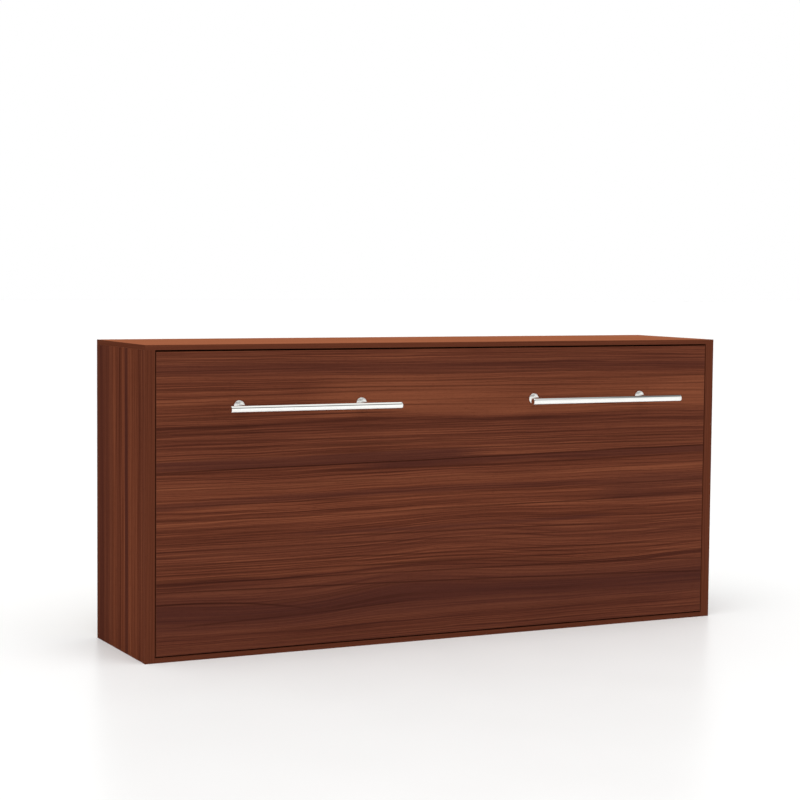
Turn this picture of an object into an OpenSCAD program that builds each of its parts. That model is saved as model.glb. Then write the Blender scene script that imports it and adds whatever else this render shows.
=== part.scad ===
// Side-folding single wall bed, closed: a low cabinet whose front panel carries the bed.
// Millimetres, +Z up. The origin is on the floor, at the centre of the cabinet's footprint.
// +X runs to the right along the front, and +Y from the front to the wall.
// The cabinet is built out from the mattress, so its width and height follow from it.

/* [Mattress] */
// Length of the mattress
mattress_l = 1900; // [1800:10:2000]
// Width of the mattress
mattress_w = 900; // [800:10:1000]
// Thickness of the mattress at its crown
mattress_t = 170; // [140:5:185]
// Radius of the mattress's long edges
mattress_edge_r = 20; // [14:1:28]
// Radius of the mattress's four corners, seen from above
mattress_corner_r = 60; // [40:5:90]
// Rise of the sleeping face from its edge to its middle
mattress_crown = 6; // [2:1:12]
// Depth that the mattress's sides draw in between their edges
mattress_draw = 4; // [1:1:8]
// Gap between a soft piece and what it lies on
soft_gap = 0.3; // [0.2:0.1:1]

/* [Cabinet] */
// Depth of the cabinet from its front edge to the wall
cabinet_d = 480; // [440:5:540]
// Thickness of a side, which is two boards glued together
side_t = 32; // [25:1:40]
// Thickness of the top, bottom and wall rails
board_t = 16; // [14:1:22]
// Thickness of the edge banding
band_t = 1; // [0.4:0.1:2]
// Thickness of the back panel
back_t = 3; // [3:0.5:6]
// Depth of the groove that holds the back panel
groove_d = 8; // [5:1:10]
// Height of each wall rail
wall_rail_h = 100; // [70:5:140]
// Distance between the wall bolts along the rails
wall_bolt_span = 1800; // [1200:50:1850]
// Diameter of a wall bolt's hole
wall_hole_d = 9; // [6:0.5:12]
// Gap between the bottom board and the mattress's lower edge
foot_gap = 22; // [18:1:40]
// Least gap between the top board and the mattress as it swings past
swing_gap = 9.5; // [5:0.5:20]

/* [Front panel] */
// Thickness of the front panel
panel_t = 16; // [14:1:22]
// Gap seen below and beside the front panel
reveal = 3; // [2:0.5:5]
// Gap seen over the front panel
head_gap = 5; // [2:0.5:8]
// Least gap between the panel's lower corner and the bottom board as it turns
heel_gap = 1.5; // [1:0.5:4]

/* [Handles] */
// Distance from the middle of the bed to the middle of a handle
handle_x = 534; // [420:1:600]
// Distance from the panel's top edge down to the handles
handle_drop = 173; // [120:1:260]
// Length of a handle's bar over its end caps
bar_l = 584; // [450:1:700]
// Diameter of a handle's bar
bar_d = 22; // [18:1:28]
// Wall of the bar's tube
bar_wall = 1.5; // [1:0.25:3]
// Thickness of the cap on the end of a bar
bar_cap_t = 2; // [1:0.5:4]
// Length of the cap's plug inside the bar
bar_plug_l = 12; // [8:1:25]
// Distance between a handle's two posts
post_span = 424; // [300:1:440]
// Diameter of a post
post_d = 12; // [10:0.5:16]
// Distance from the panel's face to the axis of the bar
standoff = 130; // [110:1:160]
// Diameter of the rosette round a post
rosette_d = 37; // [30:1:50]
// Height of the rosette at its post
rosette_h = 9; // [5:0.5:14]
// Height of the rosette's straight rim
rosette_rim = 2; // [1:0.5:4]
// Gap left under the bars when they stand on the floor as legs
floor_gap = 0.5; // [0.2:0.1:2]

/* [Pivot] */
// Gap between the bushing's flange and the back of the front panel
pivot_gap = 0.95; // [0.5:0.05:2]
// Diameter of a pivot pin
pin_d = 10; // [8:0.5:11]
// Thickness of the bushing's wall
bush_wall = 2; // [1.5:0.25:2.5]
// Thickness of the bushing's flange
bush_flange = 2; // [1:0.5:3]
// Width of the bushing's flange round its wall
bush_lip = 2; // [1:0.5:3]
// Radial clearance of a turning or sliding fit
run_gap = 0.05; // [0.02:0.01:0.1]
// Thickness of the pivot plate, let into the side
pivot_plate_t = 5; // [4:0.5:8]
// Width of the pivot plate
pivot_plate_w = 60; // [50:1:90]
// Height of the pivot plate
pivot_plate_h = 140; // [120:5:180]
// Distance from the cabinet's front edge to the pivot plate
pivot_plate_front = 8; // [6:0.5:10]
// Thickness of the pin's collar
collar_t = 2; // [1:0.5:2.5]

/* [Steel frame] */
// Width of the frame's tubes, across the bed's face
tube_w = 40; // [30:1:60]
// Depth of the frame's tubes, behind the front panel
tube_t = 25; // [22:1:35]
// Wall of the frame's tubes
tube_wall = 2; // [1.5:0.25:3]
// Outer corner radius of the frame's tubes
tube_r = 4; // [3:0.5:6]
// Distance that the frame sits below the mattress's edges
frame_drop = 9; // [6:1:14]
// Distance between the outer cross tubes and the middle one
cross_pitch = 475; // [400:1:600]
// Thickness of the hinge plate
hinge_plate_t = 6; // [4:0.5:8]
// Radius of the hinge plate round the pin
hinge_r = 26; // [20:1:32]
// Length of the hinge plate's arm up the frame
hinge_arm = 150; // [110:5:200]
// Thread size of the hinge plate's bolts
hinge_bolt_d = 8; // [6:1:10]
// Radius of the hinge plate round the strut's lower stud
hinge_foot_r = 15; // [12:0.5:18]
// Height of the lowest of the hinge plate's bolts above the pin
hinge_bolt_low = 55; // [45:1:70]

/* [Slats] */
// Number of slats
slat_count = 13; // [9:1:15]
// Width of a slat
slat_w = 60; // [40:1:70]
// Thickness of a slat
slat_t = 8; // [6:0.5:12]
// Rise of a slat from its ends to its middle
slat_bow = 12; // [6:1:20]
// Distance from the mattress's end to the middle of the first slat
slat_inset = 80; // [60:5:140]
// Length of a slat held in its holder
slat_grip = 30; // [20:1:36]
// Wall of a slat holder
holder_wall = 2.5; // [2:0.25:4]
// Gap between a slat and its holder
slat_play = 0.3; // [0.2:0.1:1]

/* [Gas struts] */
// Distance from the fold axis back to the strut's lower stud
strut_low_y = 20; // [15:1:30]
// Distance from the fold axis down to the strut's lower stud
strut_low_z = 65; // [55:1:80]
// Distance from the fold axis back to the strut's upper stud
strut_high_y = 150; // [130:1:180]
// Distance from the fold axis up to the strut's upper stud
strut_high_z = 330; // [300:1:380]
// Diameter of the strut's cylinder
cylinder_d = 22; // [18:1:28]
// Wall of the strut's cylinder
cylinder_wall = 2; // [1.5:0.25:3]
// Length of the strut's cylinder
cylinder_l = 215; // [190:1:240]
// Diameter of the strut's rod
rod_d = 10; // [8:0.5:12]
// Length of rod inside the cylinder when the bed is closed
rod_inside = 80; // [40:1:100]
// Length of the gland that guides the rod
gland_l = 14; // [10:1:20]
// Thickness of the piston on the rod
piston_t = 10; // [6:1:16]
// Diameter of a strut's eye
eye_d = 20; // [16:1:24]
// Width of a strut's eye
eye_w = 10; // [8:1:14]
// Diameter of a strut's stud
stud_d = 8; // [6:0.5:10]
// Length of a stud past its eye
stud_over = 3; // [2:0.5:4]
// Gap between a strut's eye or stud and the piece beside it
stud_gap = 0.4; // [0.3:0.1:1]
// Gap between the cylinder and the hinge plate
strut_inner_gap = 1; // [0.5:0.5:4]
// Gap between the cylinder and the side of the cabinet
strut_outer_gap = 4; // [3.5:0.5:8]
// Thickness of the strut's bracket on the side
bracket_t = 3; // [2:0.25:3]
// Width of the strut's bracket
bracket_w = 50; // [40:1:70]
// Height of the strut's bracket
bracket_h = 80; // [60:1:110]

/* [Mattress keepers] */
// Width of a strap
strap_w = 40; // [25:1:50]
// Thickness of a strap
strap_t = 2; // [1.5:0.25:3]
// Height of a mattress hoop behind the mattress
hoop_h = 90; // [60:5:120]
// Diameter of a mattress hoop's rod
hoop_d = 8; // [6:0.5:10]
// Bend radius of a mattress hoop, at the middle of its rod
hoop_bend = 16; // [12:1:24]

/* [Stops and fasteners] */
// Side of a stop block's square section
stop_w = 22; // [16:1:26]
// Height of a stop block
stop_h = 80; // [50:5:120]
// Distance from the top board down to a stop block
stop_drop = 30; // [20:5:80]
// Diameter of a stop's rubber bumper
bumper_d = 14; // [10:1:16]
// Thickness of a stop's rubber bumper
bumper_t = 6; // [4:0.5:10]
// Diameter of a cam lock
cam_d = 15; // [12:1:20]
// Depth of a cam lock's pocket
cam_t = 12.5; // [10:0.5:13]
// Distance from the joint to the middle of a cam lock
cam_inset = 34; // [24:1:45]
// Distance from a side's front and back edges to the outer cam locks
cam_side_inset = 60; // [40:5:100]
// Diameter of a cam lock's bolt
cam_bolt_d = 6; // [5:0.5:7]
// Diameter of a wooden dowel
dowel_d = 8; // [6:1:10]
// Length of a wooden dowel
dowel_l = 30; // [25:1:35]
// Depth of a cam lock's bolt or a dowel in the board that it enters
joint_bite = 11; // [9:0.5:13]
// Diameter of a wood screw
screw_d = 4; // [3.5:0.5:5]
// Diameter of a wood screw's head
screw_head_d = 8; // [7:0.5:10]
// Length of a wood screw
screw_l = 22; // [16:1:25]
// Thread size of a handle's bolt and of the panel's bolts
bolt_d = 6; // [5:0.5:8]
// Thickness of a bolt's head
bolt_head_t = 4; // [3:0.5:6]

/* [Hidden] */
$fn = 64;

// Pivot
bush_d = pin_d + 2 * run_gap + 2 * bush_wall;
flange_d = bush_d + 2 * bush_lip;
pivot_back = panel_t + pivot_gap + flange_d / 2;

// Places along the depth
front_y = -cabinet_d / 2;
back_y = cabinet_d / 2;
cam_step = back_y - cam_side_inset;
panel_back_y = front_y + panel_t;
pivot_y = front_y + pivot_back;
tube_back_y = panel_back_y + tube_t;
slat_seat_y = tube_back_y + holder_wall;
slat_crown_y = slat_seat_y + slat_t + slat_bow;
mattress_y0 = slat_crown_y + soft_gap;
mattress_y1 = mattress_y0 + mattress_t;
back_panel_y = back_y - board_t - back_t;

// Places along the height
pivot_z = pivot_back + standoff + bar_d / 2 + floor_gap;
mattress_z0 = board_t + foot_gap;
mattress_z1 = mattress_z0 + mattress_w;
swing_r = mattress_edge_r + norm([
  mattress_z1 - mattress_edge_r - pivot_z,
  mattress_y1 - mattress_edge_r - pivot_y
]);
cabinet_h = ceil(pivot_z + swing_r + swing_gap + board_t);
inside_top = cabinet_h - board_t;
panel_top = inside_top - head_gap;
heel_reach = sqrt(pow(pivot_z - board_t - heel_gap, 2) - pow(pivot_back, 2));
panel_foot = max(board_t + reveal, ceil(2 * (pivot_z - heel_reach)) / 2);
handle_z = panel_top - handle_drop;
frame_z0 = mattress_z0 - frame_drop;
frame_z1 = mattress_z1 - frame_drop;

// Places along the width
frame_half = mattress_l / 2 + tube_w;
hinge_x = frame_half + hinge_plate_t;
strut_x = hinge_x + strut_inner_gap + cylinder_d / 2;
inside_half = strut_x + cylinder_d / 2 + strut_outer_gap;
cabinet_half = inside_half + side_t;
panel_half = inside_half - reveal;
bolt_head_d = 2 * bolt_d;

// Struts, measured from the upper stud down to the lower one
strut_y = pivot_y + strut_high_y;
strut_z = pivot_z + strut_high_z;
strut_run = strut_high_y - strut_low_y;
strut_fall = strut_high_z + strut_low_z;
strut_l = norm([strut_run, strut_fall]);
strut_tilt = atan2(strut_run, -strut_fall);
barrel_neck = 5;
barrel_top = eye_d / 2 + barrel_neck;
barrel_end = barrel_top + cylinder_l;
bore_d = cylinder_d - 2 * cylinder_wall;
rod_end_grip = 12;
rod_foot = strut_l - eye_d / 2 - 4;

// Play of a cam lock's bolt in its own board
bolt_play = 0.2;

// Corner radius of the steel plates on the sides
plate_r = 8;

// Distances of the corner screws from the edges of a pivot plate and of a strut bracket
pivot_screw_inset = [11, 12];
bracket_screw_inset = [10, 12];

// Colours
walnut = [0.43, 0.23, 0.15];
walnut_dark = [0.36, 0.19, 0.12];
hardboard = [0.70, 0.56, 0.42];
chrome_tone = [0.85, 0.86, 0.88];
zinc_tone = [0.66, 0.68, 0.70];
frame_tone = [0.25, 0.26, 0.28];
black_tone = [0.08, 0.08, 0.09];
bronze_tone = [0.72, 0.55, 0.30];
birch = [0.86, 0.74, 0.55];
white_cloth = [0.90, 0.90, 0.88];

// Draws its children on the right, or mirrored on the left
module on_side(side) {
  if (side > 0) children();
  else mirror([1, 0, 0]) children();
}

// A shape drawn in Y and Z, extruded along +X from x0
module along_x(x0, l) {
  translate([x0, 0, 0]) rotate([90, 0, 90]) linear_extrude(l) children();
}

// A shape drawn in X and Z, extruded along +Y from y0
module along_y(y0, l) {
  translate([0, y0 + l, 0]) rotate([90, 0, 0]) linear_extrude(l) children();
}

// A block given by its lowest and highest corners
module block(low, high) {
  translate(low) cube(high - low);
}

// A round bar along X, Y or Z from a point
module bar_x(p, l, d) {
  translate(p) rotate([0, 90, 0]) cylinder(h = l, d = d);
}
module bar_y(p, l, d) {
  translate(p) rotate([-90, 0, 0]) cylinder(h = l, d = d);
}
module bar_z(p, l, d) {
  translate(p) cylinder(h = l, d = d);
}

// A rectangle with round corners, about the origin
module round_rect(w, h, r) {
  square([w - 2 * r, h], center = true);
  square([w, h - 2 * r], center = true);
  for (sx = [-1, 1], sy = [-1, 1]) {
    translate([sx * (w / 2 - r), sy * (h / 2 - r)]) circle(r = r);
  }
}

// Two discs joined by their outer tangents
module link_shape(p, rp, q, rq) {
  turn = atan2(q.y - p.y, q.x - p.x);
  lean = acos((rp - rq) / norm(q - p));
  translate(p) circle(r = rp);
  translate(q) circle(r = rq);
  polygon([
    p + rp * [cos(turn + lean), sin(turn + lean)],
    q + rq * [cos(turn + lean), sin(turn + lean)],
    q + rq * [cos(turn - lean), sin(turn - lean)],
    p + rp * [cos(turn - lean), sin(turn - lean)]
  ]);
}

// A countersunk wood screw whose head lies flush at the origin, driven along +X
module wood_screw() {
  head_t = (screw_head_d - screw_d) / 2;
  rotate([0, 90, 0]) cylinder(h = head_t, d1 = screw_head_d, d2 = screw_d);
  bar_x([0, 0, 0], screw_l, screw_d);
}

// Cabinet

// Depths at which the cam locks of one joint sit
function cam_ys() = [for (k = [-1:1]) k * cam_step];

// Depths at which the dowels of one joint sit
function dowel_ys() = [-cam_step / 2, cam_step / 2];

// Draws its children along +Z from each of the right half's board joints at the given depths,
// with the mating board above and the board that holds the cam locks below
module on_joints(ys) {
  for (y = ys) {
    translate([inside_half + board_t / 2, y, inside_top]) children();
    translate([inside_half, y, board_t / 2]) rotate([0, 90, 0]) children();
  }
}

// A cam lock's bolt: its thread above the joint, and a necked head in the middle of the cam
module cam_bolt() {
  head_t = cam_bolt_d / 2;
  neck_t = cam_bolt_d / 2;
  bar_z([0, 0, -cam_inset - head_t / 2], head_t, cam_bolt_d);
  bar_z([0, 0, -cam_inset], head_t / 2 + neck_t, cam_bolt_d * 2 / 3);
  bar_z([0, 0, -cam_inset + head_t / 2 + neck_t], cam_inset - head_t / 2 - neck_t + joint_bite, cam_bolt_d);
}

// What a cam lock's bolt needs: a tight hole above the joint, and a free one down to the cam
module cam_bolt_hole() {
  free_l = cam_inset + cam_bolt_d / 2 + bolt_play;
  bar_z([0, 0, -1], joint_bite + 1, cam_bolt_d);
  bar_z([0, 0, -free_l], free_l, cam_bolt_d + 2 * bolt_play);
}

// Dowels beside the bolts, and across the ends of the wall rails
module dowels_right() {
  on_joints(dowel_ys()) bar_z([0, 0, joint_bite - dowel_l], dowel_l, dowel_d);
  for (z = [upper_rail_z, lower_rail_z], s = [-1, 1]) {
    bar_x([inside_half + joint_bite - dowel_l, back_y - board_t / 2, z + s * wall_rail_h / 4],
          dowel_l, dowel_d);
  }
}

module cam_bolts() {
  color(zinc_tone) for (side = [-1, 1]) on_side(side) on_joints(cam_ys()) cam_bolt();
}

module dowels() {
  color(birch) for (side = [-1, 1]) on_side(side) dowels_right();
}

// Holes of the right half's bolts and dowels
module joint_holes_right() {
  on_joints(cam_ys()) cam_bolt_hole();
  dowels_right();
}

// Cam locks of the right half: upright ones in the side, flat ones in the bottom board
module cams_right() {
  for (y = cam_ys()) {
    bar_x([inside_half, y, inside_top - cam_inset], cam_t, cam_d);
    bar_z([inside_half - cam_inset, y, board_t - cam_t], cam_t, cam_d);
  }
}

// The screwdriver slots in the cam locks' faces
module cam_slots_right() {
  slot_d = cam_t * 0.16;
  slot_w = cam_d / 6;
  slot_l = cam_d * 0.6;
  for (y = cam_ys()) {
    block([inside_half - 1, y - slot_l / 2, inside_top - cam_inset - slot_w / 2],
          [inside_half + slot_d, y + slot_l / 2, inside_top - cam_inset + slot_w / 2]);
    block([inside_half - cam_inset - slot_w / 2, y - slot_l / 2, board_t - slot_d],
          [inside_half - cam_inset + slot_w / 2, y + slot_l / 2, board_t + 1]);
  }
}

module cam_locks() {
  color(zinc_tone) for (side = [-1, 1]) on_side(side) difference() {
    cams_right();
    cam_slots_right();
    on_joints(cam_ys()) cam_bolt_hole();
  }
}

// The groove that the back panel stands in
module back_groove() {
  block([-inside_half - groove_d, back_panel_y, board_t - groove_d],
        [inside_half + groove_d, back_panel_y + back_t, inside_top + groove_d]);
}

module top_board() {
  color(walnut) difference() {
    block([-cabinet_half + band_t, front_y + band_t, inside_top],
          [cabinet_half - band_t, back_y, cabinet_h]);
    back_groove();
    for (side = [-1, 1]) on_side(side) joint_holes_right();
  }
}

module bottom_board() {
  color(walnut) difference() {
    block([-inside_half, front_y + band_t, 0], [inside_half, back_y, board_t]);
    back_groove();
    for (side = [-1, 1]) on_side(side) {
      cams_right();
      joint_holes_right();
    }
  }
}

module side_right() {
  difference() {
    block([inside_half, front_y + band_t, 0], [cabinet_half, back_y, inside_top]);
    back_groove();
    cams_right();
    joint_holes_right();
    translate([inside_half, 0, 0]) pivot_plate_body(0);
    pivot_screws_right();
    bracket_screws_right();
    stop_screws_right();
  }
}

module left_side_panel() {
  color(walnut) on_side(-1) side_right();
}

module right_side_panel() {
  color(walnut) on_side(1) side_right();
}

// Banding on the front edges of the boards and on the ends of the top
module carcass_edge_bands() {
  color(walnut_dark) {
    block([-cabinet_half, front_y, inside_top], [cabinet_half, front_y + band_t, cabinet_h]);
    block([-inside_half, front_y, 0], [inside_half, front_y + band_t, board_t]);
    for (side = [-1, 1]) on_side(side) {
      block([inside_half, front_y, 0], [cabinet_half, front_y + band_t, inside_top]);
      block([cabinet_half - band_t, front_y + band_t, inside_top],
            [cabinet_half, back_y, cabinet_h]);
    }
  }
}

// Wall bolts go through a rail and the back panel, at mid height of the rail
module wall_holes(z, y0, l, d) {
  for (side = [-1, 1]) bar_y([side * wall_bolt_span / 2, y0, z], l, d);
}

upper_rail_z = inside_top - wall_rail_h / 2;
lower_rail_z = board_t + wall_rail_h / 2;

module back_panel() {
  access_d = 2 * wall_hole_d;
  color(hardboard) difference() {
    back_groove();
    wall_holes(upper_rail_z, back_panel_y - 1, back_t + 2, access_d);
    wall_holes(lower_rail_z, back_panel_y - 1, back_t + 2, access_d);
  }
}

module wall_rail(z) {
  difference() {
    block([-inside_half, back_y - board_t, z - wall_rail_h / 2],
          [inside_half, back_y, z + wall_rail_h / 2]);
    wall_holes(z, back_y - board_t - 1, board_t + 2, wall_hole_d);
    for (side = [-1, 1]) on_side(side) dowels_right();
  }
}

module upper_wall_rail() {
  color(walnut) wall_rail(upper_rail_z);
}

module lower_wall_rail() {
  color(walnut) wall_rail(lower_rail_z);
}

// Pivot of the bed on the cabinet

pivot_plate_y = front_y + pivot_plate_front + pivot_plate_w / 2;
pivot_pin_end = frame_half - tube_wall - 2 * bush_wall;

// The pivot plate's block, from the face of the side into it
module pivot_plate_body(x0) {
  along_x(x0, pivot_plate_t) translate([pivot_plate_y, pivot_z]) {
    round_rect(pivot_plate_w, pivot_plate_h, plate_r);
  }
}

// Screws at the pivot plate's top, middle and foot
module pivot_screws_right() {
  across = pivot_plate_w / 2 - pivot_screw_inset.x;
  up = pivot_plate_h / 2 - pivot_screw_inset.y;
  for (sy = [-1, 1], sz = [-1, 1]) {
    translate([inside_half, pivot_plate_y + sy * across, pivot_z + sz * up]) wood_screw();
  }
  translate([inside_half, pivot_plate_y + across, pivot_z]) wood_screw();
}

module pivot_plate_right() {
  difference() {
    pivot_plate_body(inside_half);
    pivot_screws_right();
    bar_x([inside_half - 1, pivot_y, pivot_z], pivot_plate_t + 2, pin_d);
  }
}

module left_pivot_plate() {
  color(zinc_tone) on_side(-1) pivot_plate_right();
}

module right_pivot_plate() {
  color(zinc_tone) on_side(1) pivot_plate_right();
}

module pivot_plate_screws() {
  color(zinc_tone) for (side = [-1, 1]) on_side(side) pivot_screws_right();
}

// A pin fixed in its plate, with a collar on the plate's face
module pivot_pins() {
  collar_d = pin_d + 4 * bush_wall;
  color(chrome_tone) for (side = [-1, 1]) on_side(side) {
    bar_x([pivot_pin_end, pivot_y, pivot_z], inside_half + pivot_plate_t - pivot_pin_end, pin_d);
    bar_x([inside_half - collar_t, pivot_y, pivot_z], collar_t, collar_d);
  }
}

// Brackets and studs of the gas struts

module bracket_screws_right() {
  across = bracket_w / 2 - bracket_screw_inset.x;
  up = bracket_h / 2 - bracket_screw_inset.y;
  for (sy = [-1, 1], sz = [-1, 1]) {
    translate([inside_half - bracket_t, strut_y + sy * across, strut_z + sz * up]) wood_screw();
  }
}

// A plate on the side with the stud that the strut's upper eye turns on
module strut_bracket_right() {
  stud_end = strut_x - eye_w / 2 - stud_over;
  head_t = 2;
  difference() {
    along_x(inside_half - bracket_t, bracket_t) translate([strut_y, strut_z]) {
      round_rect(bracket_w, bracket_h, plate_r);
    }
    bracket_screws_right();
  }
  bar_x([stud_end, strut_y, strut_z], inside_half - bracket_t - stud_end, stud_d);
  bar_x([stud_end - head_t, strut_y, strut_z], head_t + stud_over - stud_gap, 1.5 * stud_d);
}

module left_strut_bracket() {
  color(zinc_tone) on_side(-1) strut_bracket_right();
}

module right_strut_bracket() {
  color(zinc_tone) on_side(1) strut_bracket_right();
}

module strut_bracket_screws() {
  color(zinc_tone) for (side = [-1, 1]) on_side(side) bracket_screws_right();
}

// Stops behind the top corners of the front panel

stop_z = inside_top - stop_drop - stop_h / 2;
stop_y = panel_back_y + soft_gap + bumper_t;

module stop_screws_right() {
  for (sz = [-1, 1]) {
    translate([inside_half - stop_w / 2, stop_y + stop_w / 2, stop_z + sz * stop_h / 4]) {
      bar_x([0, 0, 0], screw_l, screw_d);
    }
  }
}

// Counterbores that let the screws' heads lie inside the block
module stop_head_holes() {
  for (sz = [-1, 1]) {
    bar_x([inside_half - stop_w - 1, stop_y + stop_w / 2, stop_z + sz * stop_h / 4],
          stop_w / 2 + 1, screw_head_d);
  }
}

module stop_blocks() {
  color(black_tone) for (side = [-1, 1]) on_side(side) difference() {
    block([inside_half - stop_w, stop_y, stop_z - stop_h / 2],
          [inside_half, stop_y + stop_w, stop_z + stop_h / 2]);
    stop_screws_right();
    stop_head_holes();
  }
}

module stop_block_screws() {
  color(zinc_tone) for (side = [-1, 1]) on_side(side) {
    stop_screws_right();
    for (sz = [-1, 1]) {
      bar_x([inside_half - stop_w / 2 - 2, stop_y + stop_w / 2, stop_z + sz * stop_h / 4],
            2, screw_head_d);
    }
  }
}

module stop_bumpers() {
  color(black_tone) for (side = [-1, 1], sz = [-1, 1]) on_side(side) {
    bar_y([inside_half - stop_w / 2, stop_y - bumper_t, stop_z + sz * stop_h / 4],
          bumper_t, bumper_d);
  }
}

// Bed: the front panel

// Places of the two posts of the right handle
function post_xs() = [for (s = [-1, 1]) handle_x + s * post_span / 2];

module front_panel() {
  hole_d = bolt_d + 0.5;
  color(walnut) difference() {
    block([-panel_half + band_t, front_y, panel_foot + band_t],
          [panel_half - band_t, panel_back_y, panel_top - band_t]);
    for (side = [-1, 1], x = post_xs()) bar_y([side * x, front_y - 1, handle_z], panel_t + 2, hole_d);
    panel_bolt_shanks(1);
  }
}

module front_panel_edge_bands() {
  color(walnut_dark) {
    for (side = [-1, 1]) on_side(side) {
      block([panel_half - band_t, front_y, panel_foot + band_t],
            [panel_half, panel_back_y, panel_top - band_t]);
    }
    block([-panel_half, front_y, panel_foot], [panel_half, panel_back_y, panel_foot + band_t]);
    block([-panel_half, front_y, panel_top - band_t], [panel_half, panel_back_y, panel_top]);
  }
}

// Bed: the steel frame, closed tubes welded into a ladder behind the panel

// The section of a tube, with its width along the first axis
module tube_section(w) {
  difference() {
    round_rect(w, tube_t, tube_r);
    round_rect(w - 2 * tube_wall, tube_t - 2 * tube_wall, tube_r - tube_wall);
  }
}

tube_y = panel_back_y + tube_t / 2;

// A tube that stands up between two heights
module upright_tube(x, z0, z1) {
  translate([x, tube_y, z0]) linear_extrude(z1 - z0) tube_section(tube_w);
}

// A tube that lies along the bed, between the end tubes
module long_tube(z) {
  along_x(-mattress_l / 2, mattress_l) translate([tube_y, z]) rotate(90) tube_section(tube_w);
}

lower_tube_z = frame_z0 + tube_w / 2;
upper_tube_z = frame_z1 - tube_w / 2;

// The bolts that hold the frame to the panel stand between the slats
slat_pitch = (mattress_l - 2 * slat_inset) / (slat_count - 1);
bolt_steps = [1.5, 4.5, slat_count - 5.5, slat_count - 2.5];
bolt_bite = panel_t * 0.6;

function slat_at(k) = -mattress_l / 2 + slat_inset + k * slat_pitch;

// The bolts' shanks, or the tools for their holes, which reach past the tubes
module panel_bolt_shanks(over) {
  for (k = bolt_steps, z = [lower_tube_z, upper_tube_z]) {
    bar_y([slat_at(k), panel_back_y - bolt_bite, z], bolt_bite + tube_t + over, bolt_d);
  }
}

module panel_bolts() {
  color(zinc_tone) {
    panel_bolt_shanks(0);
    for (k = bolt_steps, z = [lower_tube_z, upper_tube_z]) {
      bar_y([slat_at(k), tube_back_y, z], bolt_head_t, bolt_head_d);
    }
  }
}

module frame_lower_rail() {
  color(frame_tone) difference() {
    long_tube(lower_tube_z);
    panel_bolt_shanks(1);
  }
}

module frame_upper_rail() {
  color(frame_tone) difference() {
    long_tube(upper_tube_z);
    panel_bolt_shanks(1);
  }
}

module end_tube_right() {
  difference() {
    upright_tube(frame_half - tube_w / 2, frame_z0, frame_z1);
    bar_x([frame_half - tube_w / 2, pivot_y, pivot_z], tube_w, bush_d);
    hinge_bolt_shanks(1);
  }
}

module frame_left_end_tube() {
  color(frame_tone) on_side(-1) end_tube_right();
}

module frame_right_end_tube() {
  color(frame_tone) on_side(1) end_tube_right();
}

module frame_cross_tubes() {
  color(frame_tone) for (k = [-1:1]) {
    upright_tube(k * cross_pitch, frame_z0 + tube_w, frame_z1 - tube_w);
  }
}

// Plastic plugs close the open ends of the end tubes
module frame_end_plugs() {
  plug_t = 2;
  plug_l = 14;
  color(black_tone) for (side = [-1, 1]) on_side(side) {
    for (end = [[frame_z0, -1], [frame_z1, 1]]) {
      translate([frame_half - tube_w / 2, tube_y, end[0]]) scale_z(end[1]) {
        linear_extrude(plug_t) round_rect(tube_w, tube_t, tube_r);
        translate([0, 0, -plug_l]) linear_extrude(plug_l) {
          round_rect(tube_w - 2 * tube_wall, tube_t - 2 * tube_wall, tube_r - tube_wall);
        }
      }
    }
  }
}

// Draws its children as they are, or turned upside down
module scale_z(way) {
  if (way > 0) children();
  else mirror([0, 0, 1]) children();
}

// Bed: hinge plates, which carry the bed on the pins and reach back to the struts

arm_r = tube_t / 2;

// Heights of the bolts above the fold axis
function hinge_bolt_zs() = [for (k = [0:2]) hinge_arm - k * (hinge_arm - hinge_bolt_low) / 2];

// The bolts' shanks through the plate and the tube's wall, or the longer tools for their holes
module hinge_bolt_shanks(over) {
  tail = 0.75 * hinge_bolt_d;
  for (z = hinge_bolt_zs()) {
    bar_x([frame_half - tube_wall - tail, tube_y, pivot_z + z],
          tail + tube_wall + hinge_plate_t + over, hinge_bolt_d);
  }
}

// The plate lies flat against the back of the front panel along its front edge
module hinge_plate_right() {
  low = [strut_low_y, -strut_low_z];
  difference() {
    along_x(frame_half, hinge_plate_t) translate([pivot_y, pivot_z]) intersection() {
      union() {
        link_shape([0, 0], hinge_r, low, hinge_foot_r);
        link_shape([0, 0], hinge_r, [tube_y - pivot_y, hinge_arm], arm_r);
      }
      translate([panel_back_y - pivot_y, -2 * hinge_arm]) square(4 * hinge_arm);
    }
    bar_x([frame_half - 1, pivot_y, pivot_z], hinge_plate_t + 2, bush_d);
    // The hole for the strut's lower stud
    bar_x([frame_half - 1, pivot_y + low.x, pivot_z + low.y], hinge_plate_t + 2, stud_d);
    hinge_bolt_shanks(1);
  }
}

module left_hinge_plate() {
  color(zinc_tone) on_side(-1) hinge_plate_right();
}

module right_hinge_plate() {
  color(zinc_tone) on_side(1) hinge_plate_right();
}

// A flanged bushing through the hinge plate and the wall of the tube
module hinge_bushings() {
  inner_x = frame_half - tube_wall - bush_wall;
  color(bronze_tone) for (side = [-1, 1]) on_side(side) difference() {
    union() {
      bar_x([inner_x, pivot_y, pivot_z], hinge_x - inner_x, bush_d);
      bar_x([hinge_x, pivot_y, pivot_z], bush_flange, flange_d);
    }
    bar_x([inner_x - 1, pivot_y, pivot_z], hinge_x + bush_flange - inner_x + 2, pin_d + 2 * run_gap);
  }
}

// A hexagon head and its shank
module hinge_bolts() {
  head_t = 0.65 * hinge_bolt_d;
  color(zinc_tone) for (side = [-1, 1]) on_side(side) {
    hinge_bolt_shanks(0);
    for (z = hinge_bolt_zs()) {
      translate([hinge_x, tube_y, pivot_z + z]) rotate([0, 90, 0]) {
        cylinder(h = head_t, d = 1.8 * hinge_bolt_d, $fn = 6);
      }
    }
  }
}

// Bed: sprung slats in their holders

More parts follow.
